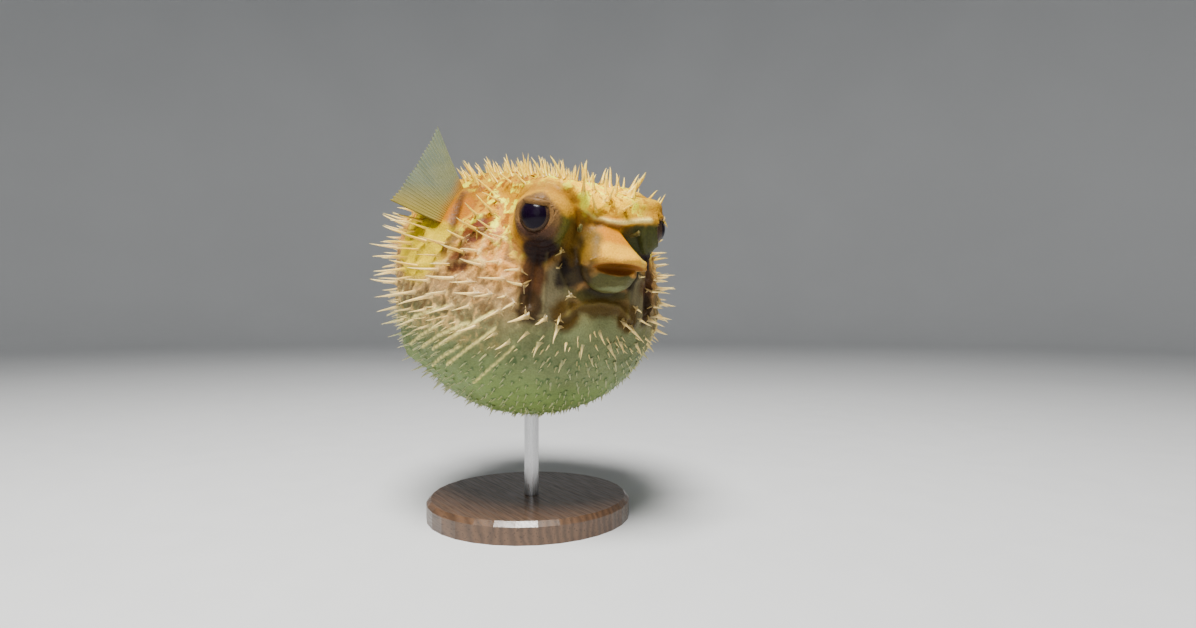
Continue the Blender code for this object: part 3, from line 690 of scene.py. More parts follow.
def to_world(points):
    place = np.array(pose())
    return points @ place[:3, :3].T + place[:3, 3]


def turned_to_world(directions):
    place = np.array(pose())[:3, :3]
    return directions @ (place / np.linalg.norm(place[:, 0])).T


# ---------------------------------------------------------------- mesh helpers


def new_object(name, data):
    made = bpy.data.objects.new(name, data)
    bpy.context.scene.collection.objects.link(made)
    return made


def mesh_object(name, points, faces=(), edges=()):
    """A smooth mesh at the origin from points in the fish's frame."""
    mesh = bpy.data.meshes.new(name)
    mesh.from_pydata(to_world(np.asarray(points)).tolist(), edges, faces)
    mesh.shade_smooth()
    return new_object(name, mesh)


def set_values(mesh, **values):
    """Stores a value, or a vector, for each point of a mesh under each name."""
    for name, found in values.items():
        found = np.asarray(found, np.float32)
        kind, field = ("FLOAT_VECTOR", "vector") if found.ndim == 2 else ("FLOAT", "value")
        mesh.attributes.new(name, kind, "POINT").data.foreach_set(field, found.ravel())


def values_of(mesh, name):
    found = np.zeros(len(mesh.vertices), np.float32)
    mesh.attributes[name].data.foreach_get("value", found)
    return found


def tube_faces(rings, around, first=0, closed=False):
    """Quads between rings of points that follow each other."""
    faces = []
    for ring in range(rings if closed else rings - 1):
        here, there = first + ring * around, first + (ring + 1) % rings * around
        for spot in range(around):
            beside = (spot + 1) % around
            faces.append((here + spot, there + spot, there + beside, here + beside))
    return faces


def capped_faces(rings, around):
    """A tube's faces with its ends drawn in to the two points that follow its rings."""
    faces, start = tube_faces(rings, around), rings * around
    last = start - around
    for spot in range(around):
        beside = (spot + 1) % around
        faces.append((start, spot, beside))
        faces.append((start + 1, last + beside, last + spot))
    return faces


def face_outwards(mesh):
    bm = bmesh.new()
    bm.from_mesh(mesh)
    bmesh.ops.recalc_face_normals(bm, faces=bm.faces[:])
    bm.to_mesh(mesh)
    bm.free()


def plain_mesh(source, name):
    """The evaluated mesh of an object as a new object at the origin. The source is removed."""
    graph = bpy.context.evaluated_depsgraph_get()
    mesh = bpy.data.meshes.new_from_object(source.evaluated_get(graph))
    mesh.name = name
    bpy.data.objects.remove(source, do_unlink=True)
    mesh.shade_smooth()
    return new_object(name, mesh)


def grown(name, source, tree, sizes):
    """Runs a node tree over an object and keeps the result as a plain mesh."""
    modifier = source.modifiers.new("grow", "NODES")
    modifier.node_group = tree
    for item in tree.interface.items_tree:
        if item.item_type == "SOCKET" and item.in_out == "INPUT" and item.name in sizes:
            modifier[item.identifier] = sizes[item.name]
    bpy.context.view_layer.update()
    return plain_mesh(source, name)


def finish_piece(made, slot, *nodes):
    """Hides the nodes that a piece replaces, if any, and hangs the piece on the root. The slot is not used.
    """
    if nodes:
        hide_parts(*nodes)
    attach(made, "root")


# ---------------------------------------------------------------- material helpers


def put(tree, value, socket):
    """Links a socket's value, or sets it."""
    if isinstance(value, bpy.types.NodeSocket):
        tree.links.new(value, socket)
    else:
        socket.default_value = value


def add(tree, kind, inputs=None, **options):
    """A new node with its options set, and its inputs set or linked."""
    made = tree.nodes.new(kind)
    for name, value in options.items():
        setattr(made, name, value)
    for name, value in (inputs or {}).items():
        put(tree, value, made.inputs[name])
    return made


def rgba(colour):
    """A colour for a socket, from a paint's name, three numbers, or a socket."""
    if isinstance(colour, bpy.types.NodeSocket):
        return colour
    return (*(PAINTS[colour] if isinstance(colour, str) else colour), 1.0)


def mixed(tree, share, a, b, blend="MIX"):
    made = add(
        tree, "ShaderNodeMix", {0: share, 6: rgba(a), 7: rgba(b)}, data_type="RGBA", blend_type=blend,
    )
    return made.outputs[2]


def maths(tree, operation, a, b, c=0.0):
    return add(tree, "ShaderNodeMath", {0: a, 1: b, 2: c}, operation=operation).outputs[0]


def times(tree, *factors):
    found = factors[0]
    for factor in factors[1:]:
        found = maths(tree, "MULTIPLY", found, factor)
    return found


def between(tree, value, low, high, to_low=0.0, to_high=1.0):
    """A smooth step of a value from low to high."""
    made = add(tree, "ShaderNodeMapRange", {
        "Value": value, "From Min": low, "From Max": high, "To Min": to_low, "To Max": to_high,
    }, interpolation_type="SMOOTHSTEP")
    return made.outputs[0]


def grain(tree, where, scale, detail=2.0, roughness=0.5):
    made = add(tree, "ShaderNodeTexNoise", {
        "Vector": where, "Scale": scale, "Detail": detail, "Roughness": roughness,
    })
    return made.outputs["Fac"]


def spread(tree, value, low=0.0, high=1.0):
    """A grain, which lies about the middle of its range, spread from low to high."""
    return between(tree, value, 0.3, 0.7, low, high)


def attribute(tree, name):
    return add(tree, "ShaderNodeAttribute", attribute_name=name).outputs["Fac"]


def split(tree, vector):
    return add(tree, "ShaderNodeSeparateXYZ", {0: vector}).outputs


def combined(tree, x, y, z):
    return add(tree, "ShaderNodeCombineXYZ", {0: x, 1: y, 2: z}).outputs[0]


def object_place(tree):
    return add(tree, "ShaderNodeTexCoord").outputs["Object"]


def stretched(tree, where, scale):
    return add(tree, "ShaderNodeMapping", {"Vector": where, "Scale": scale}).outputs[0]


def new_material(name):
    """An empty material, as (material, tree, shader, place in the world)."""
    made = bpy.data.materials.new(name)
    made.use_nodes = True
    tree = made.node_tree
    return made, tree, tree.nodes["Principled BSDF"], object_place(tree)


def set_sockets(tree, shader, **values):
    """Sets or links a shader's sockets, each named with _ for its spaces."""
    for name, value in values.items():
        put(tree, value, shader.inputs[name.replace("_", " ")])


def bumps(tree, height, distance, strength):
    made = add(tree, "ShaderNodeBump", {"Height": height, "Distance": distance, "Strength": strength})
    return made.outputs[0]


# ---------------------------------------------------------------- skin's colours


def fish_place(tree):
    """Every surface point in the fish's own frame, from its Object coordinates."""
    shape = settings()
    turn = pose().to_3x3().normalized().to_euler()
    made = add(tree, "ShaderNodeMapping", {
        "Vector": object_place(tree), "Location": (0.0, 0.0, shape.height), "Rotation": turn,
        "Scale": (shape.radius,) * 3,
    }, vector_type="TEXTURE")
    return made.outputs[0]


def with_marks(tree, colour, marks, one_sided, both):
    """Paints a list of marks, as (colour, how much of it is a mark that ribs keep off)."""
    own = 0.0
    for name, centre, half, paint, whole, end, strength in marks:
        near = add(tree, "ShaderNodeMapping", {
            "Vector": one_sided if name.startswith("one") else both, "Location": centre, "Scale": half,
        }, vector_type="TEXTURE")
        far = add(tree, "ShaderNodeVectorMath", {0: near.outputs[0]}, operation="LENGTH").outputs["Value"]
        share = between(tree, far, whole, end, strength, 0.0)
        colour = mixed(tree, share, colour, paint)
        if name in OWN_COLOUR:
            own = maths(tree, "MAXIMUM", own, share)
    return colour, own


def side_ramp(tree, up):
    """The skin's colour by height, which the ramp takes from -1 at the bottom to 1 at the top."""
    ramp = add(tree, "ShaderNodeValToRGB", {0: maths(tree, "MULTIPLY_ADD", up, 0.5, 0.5)})
    stops = ramp.color_ramp.elements
    for height, _ in UP_THE_SIDE[1:-1]:
        stops.new(0.5 + 0.5 * height)
    for stop, (_, colour) in zip(stops, UP_THE_SIDE):
        stop.color = rgba(colour)
    return ramp.outputs[0]


def markings():
    """The node group that paints every mark, for the skin and all that grows from it."""
    found = bpy.data.node_groups.get("markings")
    if found:
        return found
    tree = bpy.data.node_groups.new("markings", "ShaderNodeTree")
    for label, kind in (("Colour", "Color"), ("Place", "Vector"), ("Up", "Float"), ("Own", "Float")):
        tree.interface.new_socket(label, in_out="OUTPUT", socket_type="NodeSocket" + kind)

    # Marks have ragged edges, as each point is read a little way off its place.
    place = fish_place(tree)
    blur = add(tree, "ShaderNodeTexNoise", {"Vector": place, "Scale": 7.0, "Detail": 3.0})
    shift = add(tree, "ShaderNodeVectorMath", {
        0: blur.outputs["Color"], 1: (-0.5, -0.5, -0.5),
    }, operation="ADD")
    ragged = add(tree, "ShaderNodeVectorMath", {
        0: shift.outputs[0], 1: (0.11, 0.11, 0.11), 2: place,
    }, operation="MULTIPLY_ADD").outputs[0]
    ahead, aside, up = split(tree, ragged)
    both = combined(tree, ahead, maths(tree, "ABSOLUTE", aside, 0.0), up)
    colour, _ = with_marks(tree, side_ramp(tree, up), MARKS, ragged, both)

    # Freckles and pale patches on the back, fading out down the side and on the snout.
    behind = between(tree, ahead, 1.00, 1.08, 1.0, 0.0)
    high = maths(tree, "MAXIMUM", behind, between(tree, up, 0.77, 0.81))
    on_back = times(tree, between(tree, up, 0.34, 0.60), high)
    patches = between(tree, grain(tree, place, 8.0, 3.0, 0.6), 0.50, 0.60)
    colour = mixed(tree, times(tree, patches, on_back, 0.85), colour, "pale patch")
    freckles = between(tree, grain(tree, place, 12.0, 4.0, 0.65), 0.50, 0.58)
    behind_eyes = between(tree, ahead, 0.55, 0.95, 0.90, 0.72)
    freckled = times(tree, freckles, on_back, behind_eyes)
    colour = mixed(tree, freckled, colour, bpy.context.scene.fish_colours.spot)
    colour, own = with_marks(tree, colour, FACE_MARKS, ragged, both)

    out = tree.nodes.new("NodeGroupOutput")
    for value, socket in zip((colour, place, up, own), out.inputs):
        tree.links.new(value, socket)
    return tree


def painted(tree):
    """The markings group in a material, as (colour, place, height, share of its own marks)."""
    made = tree.nodes.new("ShaderNodeGroup")
    made.node_tree = markings()
    return tuple(made.outputs)


def skin_material():
    """The markings and, over them, rings and ribs between spines, painted highlights on ridges, painted
    shade in furrows and creases, and pores.
    """
    colours = bpy.context.scene.fish_colours
    made, tree, shader, where = new_material("fish_skin")
    colour, place, up, own = painted(tree)
    gap, web, crease, mouth, line = (attribute(tree, name) for name in SKIN_VALUES)
    ahead = split(tree, place)[0]

    # Dark rings round the belly's spines, and pale ribs of drawn skin between those of the side.
    wobble = times(tree, grain(tree, place, 26.0), 0.022)
    ringed = between(tree, maths(tree, "ADD", gap, wobble), 0.020, 0.038, 1.0, 0.0)
    low = between(tree, up, -0.30, -0.05, 0.85, 0.0)
    colour = mixed(tree, times(tree, ringed, low), colour, colours.belly_spot)
    plain = between(tree, own, 0.0, 1.0, 1.0, 0.12)
    open_side = times(
        tree, between(tree, up, -0.35, 0.02), between(tree, up, 0.40, 0.62, 1.0, 0.0),
        between(tree, ahead, 0.80, 0.95, 1.0, 0.0), plain,
    )
    hollow = between(tree, web, 0.014, 0.036, 0.0, 0.78)
    colour = mixed(tree, times(tree, hollow, open_side), colour, "skin hollow")
    drawn = between(tree, maths(tree, "ADD", web, wobble), 0.010, 0.024, 0.60, 0.0)
    colour = mixed(tree, times(tree, drawn, open_side), colour, "skin rib")
    tips = between(tree, gap, 0.014, 0.034, 0.7, 0.0)
    colour = mixed(tree, times(tree, tips, open_side), colour, "pucker")

    # Painted highlights on ridges and the pale of the streaks, painted shade in the furrows, and painted
    # brown shade in the brow's creases.
    colour = mixed(tree, times(tree, between(tree, line, 0.0, 1.0), plain), colour, "ridge")
    furrow = times(tree, between(tree, times(tree, line, -1.0), 0.0, 1.0), 0.9)
    colour = mixed(tree, furrow, colour, "furrow")
    brown = times(
        tree, crease, between(tree, up, 0.60, 0.74, 0.0, 0.85), between(tree, ahead, 0.45, 0.60),
    )
    colour = mixed(tree, brown, colour, "brow crease")

    # Slow cloudiness and fine grain over everything, and painted shade in the creases off the brow.
    cloud = spread(tree, grain(tree, place, 3.0, 3.0), 0.82, 1.12)
    fine = spread(tree, grain(tree, where, 900.0, 3.0, 0.6), 0.84, 1.10)
    under, behind = between(tree, up, 0.60, 0.74, 1.0, 0.0), between(tree, ahead, 0.45, 0.60, 1.0, 0.0)
    off_brow = maths(tree, "MAXIMUM", under, behind)
    deep = between(tree, times(tree, crease, off_brow), 0.0, 1.0, 1.0, 0.30)
    dark = times(tree, cloud, fine, deep)
    tone = add(tree, "ShaderNodeCombineColor", {0: dark, 1: dark, 2: dark}).outputs[0]
    colour = mixed(tree, 1.0, colour, tone, "MULTIPLY")
    colour = mixed(tree, mouth, colour, colours.mouth)

    cells = add(tree, "ShaderNodeTexVoronoi", {"Vector": where, "Scale": 620.0}, feature="F1")
    pores = between(tree, cells.outputs["Distance"], 0.0, 0.55)
    height = maths(tree, "ADD", pores, times(tree, grain(tree, where, 260.0, 4.0, 0.6), 1.3))
    set_sockets(
        tree, shader, Base_Color=colour, Normal=bumps(tree, height, 0.00022, 0.8),
        Roughness=between(tree, grain(tree, where, 140.0, 3.0), 0.25, 0.75, 0.42, 0.66),
        Subsurface_Weight=0.10, Subsurface_Radius=(1.0, 0.5, 0.25), Subsurface_Scale=0.0025,
        Coat_Weight=0.02, Coat_Roughness=0.30, Specular_IOR_Level=0.12,
    )
    return made


# ---------------------------------------------------------------- skin


def ahead_of(points, cut):
    """How far points lie in front of a cut."""
    facing = np.array(cut[1]) / np.linalg.norm(cut[1])
    return (points - np.array(cut[0])) @ facing


def fin_point(plan, share, along):
    """Points on a fin's middle surface: share runs from the first ray to the last, along outwards."""
    root, rays, inner, side = plan
    share, along = (x[..., None] for x in np.broadcast_arrays(share, along))
    start = np.array(root[0]) * (1 - share) + np.array(root[1]) * share
    ray = np.array(rays[0]) * (1 - share) + np.array(rays[1]) * share
    bulge = FLAT_BULGE if plan is FINS[FLAT_FIN] else FIN_BULGE
    ray = ray * (1 + bulge * np.sin(math.pi * share))
    inwards = np.array(inner) - start
    inwards *= FIN_SUNK / np.linalg.norm(inwards, axis=-1, keepdims=True)
    out = np.maximum(0.0, (along - SUNK_SHARE) / (1 - SUNK_SHARE))
    sunk = np.maximum(0.0, 1 - along / SUNK_SHARE)
    return (start + ray * out + inwards * sunk) * np.array((1.0, side, 1.0))


def lattice(spacing, onward=0.0, aside=0.0):
    """Polar and round angles of staggered rows, all moved on by a share of a row and of half a step."""
    rows = 2 * round(math.pi * MEAN_RADIUS / spacing / math.sqrt(3))
    found = []
    for row in range(2, rows):
        polar = math.pi * row / rows
        across = abs(on_skin(np.array([[math.cos(polar), math.sin(polar), 0.0]]), to_skin)[0][1])
        count = max(6, round(2 * math.pi * across / spacing))
        for place in range(count):
            round_it = 2 * math.pi * (place + 0.5 * (row % 2) + 0.5 * aside) / count
            found.append((polar + onward * math.pi / rows, round_it))
    return np.array(found)


def bare_of_spines(points, fins, cuts):
    """True on the face, the eyelids and the tail's stem, close to a gill, a fin or the rod and, if
    cuts is true, at the cuts between the solids."""
    x, y, z = points.T
    both, aside = folded(points), np.abs(y)
    face = (x > 1.06) & (z > 0.02) & (aside < 0.60) | (x > 0.98) & (z > 0.08) & (z < 0.78)
    at_eye = np.linalg.norm(both - np.array(EYE_CENTRE), axis=1) < CLEAR["eye"]
    at_gill = np.linalg.norm(both - np.mean(GILL, axis=0), axis=1) < CLEAR["gill"]
    to_cut = np.minimum(abs(ahead_of(points, NECK_CUT)), abs(ahead_of(points, TAIL_CUT)))
    at_fin = np.linalg.norm(fins[None] - points[:, None], axis=2).min(axis=1) < CLEAR["fin"]
    at_rod = (z < 0) & (np.hypot(x - ROD_X, y) < CLEAR["rod"])
    return face | at_eye | (x < STEM) | (to_cut < CLEAR["cut"] * cuts) | at_gill | at_fin | at_rod


def spine_shapes(points, normals):
    """Directions and lengths: spines lean away from the mouth, and are longest on the flanks."""
    flow = points - np.array(MOUTH)
    flow -= normals * np.sum(flow * normals, axis=1, keepdims=True)
    flow /= np.maximum(np.linalg.norm(flow, axis=1, keepdims=True), 1e-6)
    upper = np.maximum(0.0, normals[:, 2])
    rake = np.radians(RAKE_FLANK + (RAKE_TOP - RAKE_FLANK) * upper)[:, None]

    # The longest stand behind the head at mid-height, and those in front of the belly are short.
    back = np.clip((0.95 - points[:, 0]) / 0.9, 0.0, 1.0)
    length = SPINE_SHORT + (SPINE_LONG - SPINE_SHORT) * back * (1 - np.minimum(1.0, points[:, 2] ** 2))
    below = np.clip(0.05 - points[:, 2], 0.0, 0.40) * np.clip(0.5 + points[:, 0], 0.0, 1.0)
    return normals * np.cos(rake) + flow * np.sin(rake), length * (1 - 1.15 * below)


def spine_layout():
    """Every spine as a dict of arrays: root, normal, lean, length, and thickness as a share."""
    spines = bpy.context.scene.fish_spines
    random = np.random.default_rng(spines.seed)
    spread_out = np.linspace(0, 1, 9)
    share, along = np.meshgrid(spread_out, spread_out)
    fins = np.concatenate([fin_point(plan, share, along).reshape(-1, 3) for plan in FINS.values()])

    # Each set's places, how far the roots stray from them, and its length and thickness as shares.
    # The crown's stand on the back alone, and the belly's where its larger ones leave room.
    sets = (
        ("large", lattice(SPINE_SPACING), 0.0, 1.0, 1.0),
        ("small", lattice(SPINE_SPACING, 0.34, 1.0), 0.016, spines.small, 0.78),
        ("crown", lattice(SPINE_SPACING, 0.67), 0.016, 0.9 * spines.small, 0.65),
        ("belly", lattice(spines.fine_spacing), 0.011, spines.fine, 0.40),
    )
    kept = []
    for rank, angles, stray, share, thin in sets:
        if stray:
            angles = angles + random.normal(0, stray, angles.shape)
        roots = on_skin(spherical(*angles.T), to_skin)
        normals = outward(roots, to_skin)
        lean, length = spine_shapes(roots, normals)
        length = length * share * random.uniform(0.86, 1.06, len(length))
        # All but the belly's own are smaller on the underside, except at its rear.
        below = np.clip(-0.10 - roots[:, 2], 0.0, 0.30) * np.clip(0.6 + roots[:, 0], 0.0, 1.0) / 0.30
        lessened = 1 - 0.40 * below * (rank != "belly")
        length *= lessened
        tips = roots + lean * length[:, None] * 0.8
        clear = np.linalg.norm(fins[None] - tips[:, None], axis=2).min(axis=1) > CLEAR["tip"]
        good = clear & ~bare_of_spines(roots, fins, rank == "large")
        if rank == "crown":
            good &= (roots[:, 2] > 0.72) & (roots[:, 0] < 0.35)
        if rank == "belly":
            near = np.linalg.norm(large[None] - roots[:, None], axis=2).min(axis=1)
            good &= (roots[:, 2] < -0.10 - 0.10 * np.sin(roots[:, 0] * 9)) & (near > 0.040)
        lean = lean + random.normal(0, 0.07, lean.shape)
        thick = thin * random.uniform(0.85, 1.15, len(length)) * lessened
        fine = np.full(len(length), rank == "belly")
        kept.append([part[good] for part in (roots, normals, lean, length, thick, angles, fine)])
        large = np.concatenate([part[0] for part in kept])

    face = pressed([root for root, _ in FACE_SPINES], added=1)
    normals = outward(face, to_fine_skin)
    lean, _ = spine_shapes(face, normals)
    lean[-1] = BROW_LEAN
    length = np.array([size for _, size in FACE_SPINES])
    thick = np.array([FACE_THICK] * (len(FACE_SPINES) - 1) + [BROW_THICK])
    fine = np.zeros(len(face), bool)
    polar = np.arccos(np.clip(face[:, 0] / 1.4, -1, 1))
    angles = np.stack([polar, np.arctan2(face[:, 1], face[:, 2])], axis=1)
    kept.append([face, normals, lean, length, thick, angles, fine])
    names = ("root", "normal", "lean", "length", "thick", "angles", "fine")
    layout = {name: np.concatenate(parts) for name, parts in zip(names, zip(*kept))}
    layout["lean"] /= np.linalg.norm(layout["lean"], axis=1, keepdims=True)
    return layout


def near_spines(points, layout):
    """Distance from each point to its nearest spine root, the root's length, and the distance to
    the nearest line between two of its three nearest roots."""
    tree = kdtree.KDTree(len(layout["root"]))
    for number, root in enumerate(layout["root"]):
        tree.insert(root, number)
    tree.balance()
    nearest = np.array([[found[1] for found in tree.find_n(point, 3)] for point in points.tolist()])
    a, b, c = (layout["root"][nearest[:, k]] for k in range(3))
    gap = np.linalg.norm(points - a, axis=1)
    web = np.full(len(points), FAR)
    for start, end in ((a, b), (a, c), (b, c)):
        along = end - start
        share = np.clip(np.sum((points - start) * along, axis=1) / np.sum(along**2, axis=1), 0, 1)
        aside = np.linalg.norm(points - start - share[:, None] * along, axis=1)
        web = np.minimum(web, np.where(np.linalg.norm(along, axis=1) < RIB_REACH, aside, FAR))
    return gap, layout["length"][nearest[:, 0]], web


def ripple(points, scale, seed):
    """Smooth noise from -1 to 1 at each point."""
    shift = Vector((seed, 1.7 * seed, 0.3))
    return np.array([noise.noise(Vector(point) * scale + shift) for point in points.tolist()])


def to_chain(points, chain):
    """Distance from each point to a line that runs through the points of a chain."""
    found = [np.linalg.norm(along_limb(points, ends)[1], axis=1) for ends in zip(chain, chain[1:])]
    return np.min(found, axis=0)


def pressed(chain, added=3):
    """A chain of points carried on to the outline, with each stretch parted in as many as added."""
    chain, shares = np.array(chain), np.arange(added) / added
    between_them = [a + (b - a) * share for a, b in zip(chain, chain[1:]) for share in shares]
    points = np.array([*between_them, chain[-1]])
    for _ in range(5):
        points = points - outward(points, to_fine_skin) * to_fine_skin(points)[:, None]
    return points


def drawn_lines(points):
    """What the folds add to the skin's height, and how pale or dark they're painted: painted highlights on
    the ridges and the forehead's edge, the pale of the streaks, and painted shade in the furrows.
    """
    both = folded(points)
    height, line = np.zeros(len(points)), np.zeros(len(points))
    for _, chain, width, tall, paint in FOLDS:
        near = swell(to_chain(both, pressed(chain)), width)
        height += tall * near
        line += paint * near
    edge = swell(to_chain(points, pressed(HOOD_LIP)), HOOD_LIP_WIDTH)
    gone, whole = HOOD_LIP_FADE
    edge = edge * np.clip((points[:, 1] - gone) / (whole - gone), 0.0, 1.0)
    return height + HOOD_LIP_HEIGHT * edge, np.clip(line + HOOD_LIP_HIGHLIGHT * edge, -1.0, 1.0)


def relief(points, gap, length, web):
    """How far puckers, ribs, wrinkles and soft unevenness lift the skin off its outline."""
    both, eyes = folded(points), by_eyes(points)
    x, _, z = points.T
    behind = np.clip((1.10 - x) / 0.10, 0.0, 1.0)
    sizes = settings().puckers * np.clip(length / SPINE_LONG, 0.25, 1.0)
    height = sizes * swell(gap, PUCKER_WIDTH)
    side = np.clip((z + 0.7) / 0.5, 0.30, 1.0) * behind
    height += RIB_HEIGHT * side * swell(web, RIB_WIDTH)
    top = np.clip((z - 0.66) / 0.14, 0.0, 1.0) * behind
    for where, waves in ((1.0, WAVES), (top, BACK_WAVES)):
        for tall, fineness, seed in waves:
            height += where * tall * ripple(points, fineness, seed)
    across, up, out = in_eye(eyes).T
    ring = np.hypot(across, up)
    lower = np.clip(0.5 - up / 0.2, 0.15, 1.0)
    wrinkled = swell(ring - WRINKLE_RING, WRINKLE_BAND) * (out > -0.10)
    height += WRINKLE_HEIGHT * lower * wrinkled * np.cos(2 * math.pi * ring / WRINKLE_STEP)
    height += LOBE_HEIGHT * swell(np.linalg.norm(points - np.array(LOBE), axis=1), LOBE_WIDTH)
    hollow = np.minimum(to_socket(eyes), to_ellipsoid(both, *MOUTH_LENS))
    return height * np.clip(hollow / 0.03, 0.0, 1.0)


def creases(points):
    """How deep in a crease each point lies, where the muzzle, the orbits and the brow join on, and in the
    gill slit; the skin is painted darker there, as painted shade.
    """
    both = folded(points)
    body = soft_join(to_body(both), to_hood(points), 0.028)
    muzzle, orbit = to_muzzles(both), to_orbit(by_eyes(points))
    found = np.clip(1 - to_limb(both, GILL, GILL_RADII) / 0.03, 0, 1)
    for one, other, reach, depth in (
        (body, muzzle, 0.085, 1.0), (orbit, muzzle, 0.085, 1.0), (body, orbit, 0.060, 0.8),
    ):
        found = np.maximum(found, depth * np.clip(1 - (abs(one) + abs(other)) / reach, 0, 1))
    return found


def lid_rings(side):
    """The two rolled lids of one eye, as rings of points for one closed tube."""
    centre, across, up, look = eye_frame(side)
    rings, around = 96, 14
    points = []
    for ring in range(rings):
        turn = 2 * math.pi * ring / rings
        aside, above = OPENING * math.cos(turn), OPENING * math.sin(turn)
        above -= 0.92 * max(0.0, above - OPENING_TOP)
        out = math.sqrt(max(0.0, (EYEBALL + ROLL_OFF) ** 2 - aside**2 - above**2))
        middle = centre + across * aside + up * above + look * out
        thick = ROLL_BELOW + (ROLL_ABOVE - ROLL_BELOW) * max(0.0, math.sin(turn))
        outer = across * math.cos(turn) + up * math.sin(turn)
        for spot in range(around):
            angle = 2 * math.pi * spot / around
            points.append(middle + thick * (outer * math.cos(angle) * 1.25 + look * math.sin(angle)))
    return np.array(points), rings, around


class FISH_OT_skin(bpy.types.Operator):
    """Make the one skin of the fish, with its folds, lids, lips and puckers"""

    bl_idname = "fish.skin"
    bl_label = "Skin"

    def execute(self, context):
        shape = settings()
        front = np.linspace(0.0, math.radians(FACE_ANGLE), shape.face_rings + 1)[1:]
        rear = np.linspace(math.radians(FACE_ANGLE), math.pi, shape.body_rings + 1)[1:-1]
        polar = np.concatenate([front, rear])
        round_it = np.linspace(0, 2 * math.pi, shape.around, endpoint=False)
        ring_points = spherical(polar[:, None], round_it[None]).reshape(-1, 3)
        directions = np.concatenate([ring_points, [(1.0, 0.0, 0.0), (-1.0, 0.0, 0.0)]])
        points = on_skin(directions, to_fine_skin)
        normals = outward(points, to_fine_skin)
        gap, length, web = near_spines(points, spine_layout())
        both = folded(points)
        crease = creases(points)
        mouth = np.clip(1 - to_ellipsoid(both, *MOUTH_LENS) / 0.012, 0, 1) * (both[:, 0] > 1.1)
        raised, line = drawn_lines(points)
        points = points + normals * (raised + relief(points, gap, length, web))[:, None]

        faces = [face[::-1] for face in capped_faces(len(polar), shape.around)]
        values = dict(zip(SKIN_VALUES, (gap, web, crease, mouth, line)))
        for side in (-1.0, 1.0):
            lids, rings, around = lid_rings(side)
            faces += tube_faces(rings, around, len(points), closed=True)
            points = np.concatenate([points, lids])
            for name, found in values.items():
                on_lids = FAR if name in ("root_gap", "web") else 0.0
                values[name] = np.concatenate([found, np.full(len(lids), on_lids)])
        made = mesh_object("fish_skin", points, faces)
        set_values(made.data, **values)
        face_outwards(made.data)
        made.data.materials.append(skin_material())
        finish_piece(made, "skin", "head", "trunk", "tail", "upper_jaw", "lower_jaw")
        return {"FINISHED"}


# ---------------------------------------------------------------- spines


def group_tree(name, *sockets):
    """A new geometry tree with named inputs, as (tree, input node)."""
    tree = bpy.data.node_groups.new(name, "GeometryNodeTree")
    tree.interface.new_socket("Geometry", in_out="INPUT", socket_type="NodeSocketGeometry")
    for label, kind in sockets:
        tree.interface.new_socket(label, in_out="INPUT", socket_type=kind)
    tree.interface.new_socket("Geometry", in_out="OUTPUT", socket_type="NodeSocketGeometry")
    return tree, tree.nodes.new("NodeGroupInput").outputs


def named(tree, name, kind="FLOAT"):
    made = add(tree, "GeometryNodeInputNamedAttribute", {"Name": name}, data_type=kind)
    return made.outputs["Attribute"]


def stored(tree, geometry, name, value):
    made = add(tree, "GeometryNodeStoreNamedAttribute", {
        "Geometry": geometry, "Name": name, "Value": value,
    }, data_type="FLOAT", domain="POINT")
    return made.outputs["Geometry"]


def swept(tree, curve, radius, sides):
    """A curve given a round section whose size follows radius."""
    sized = add(tree, "GeometryNodeSetCurveRadius", {"Curve": curve, "Radius": radius})
    circle = add(tree, "GeometryNodeCurvePrimitiveCircle", {"Resolution": sides, "Radius": 1.0})
    turn = add(tree, "GeometryNodeSplineParameter").outputs["Factor"]
    profile = stored(tree, circle.outputs["Curve"], "turn", turn)
    made = add(tree, "GeometryNodeCurveToMesh", {
        "Curve": sized.outputs["Curve"], "Profile Curve": profile, "Fill Caps": True,
    })
    if "Scale" in made.inputs:
        tree.links.new(radius, made.inputs["Scale"])
    return made.outputs["Mesh"]


def set_on(tree, points, shape, facing, spin, scale):
    """A shape set on every point, its z axis along the vector that facing names."""
    spun = add(tree, "FunctionNodeAxisAngleToRotation", {"Axis": (0.0, 0.0, 1.0), "Angle": spin})
    turned = add(tree, "FunctionNodeAlignRotationToVector", {
        "Rotation": spun.outputs[0], "Vector": named(tree, facing, "FLOAT_VECTOR"),
    }, axis="Z")
    made = add(tree, "GeometryNodeInstanceOnPoints", {
        "Points": points, "Instance": shape, "Rotation": turned.outputs[0], "Scale": scale,
    })
    return made.outputs["Instances"]


def close_tree(tree, geometry, material):
    whole = add(tree, "GeometryNodeRealizeInstances", {"Geometry": geometry})
    painted_mesh = add(tree, "GeometryNodeSetMaterial", {
        "Geometry": whole.outputs[0], "Material": material,
    })
    out = tree.nodes.new("NodeGroupOutput")
    tree.links.new(painted_mesh.outputs[0], out.inputs[0])


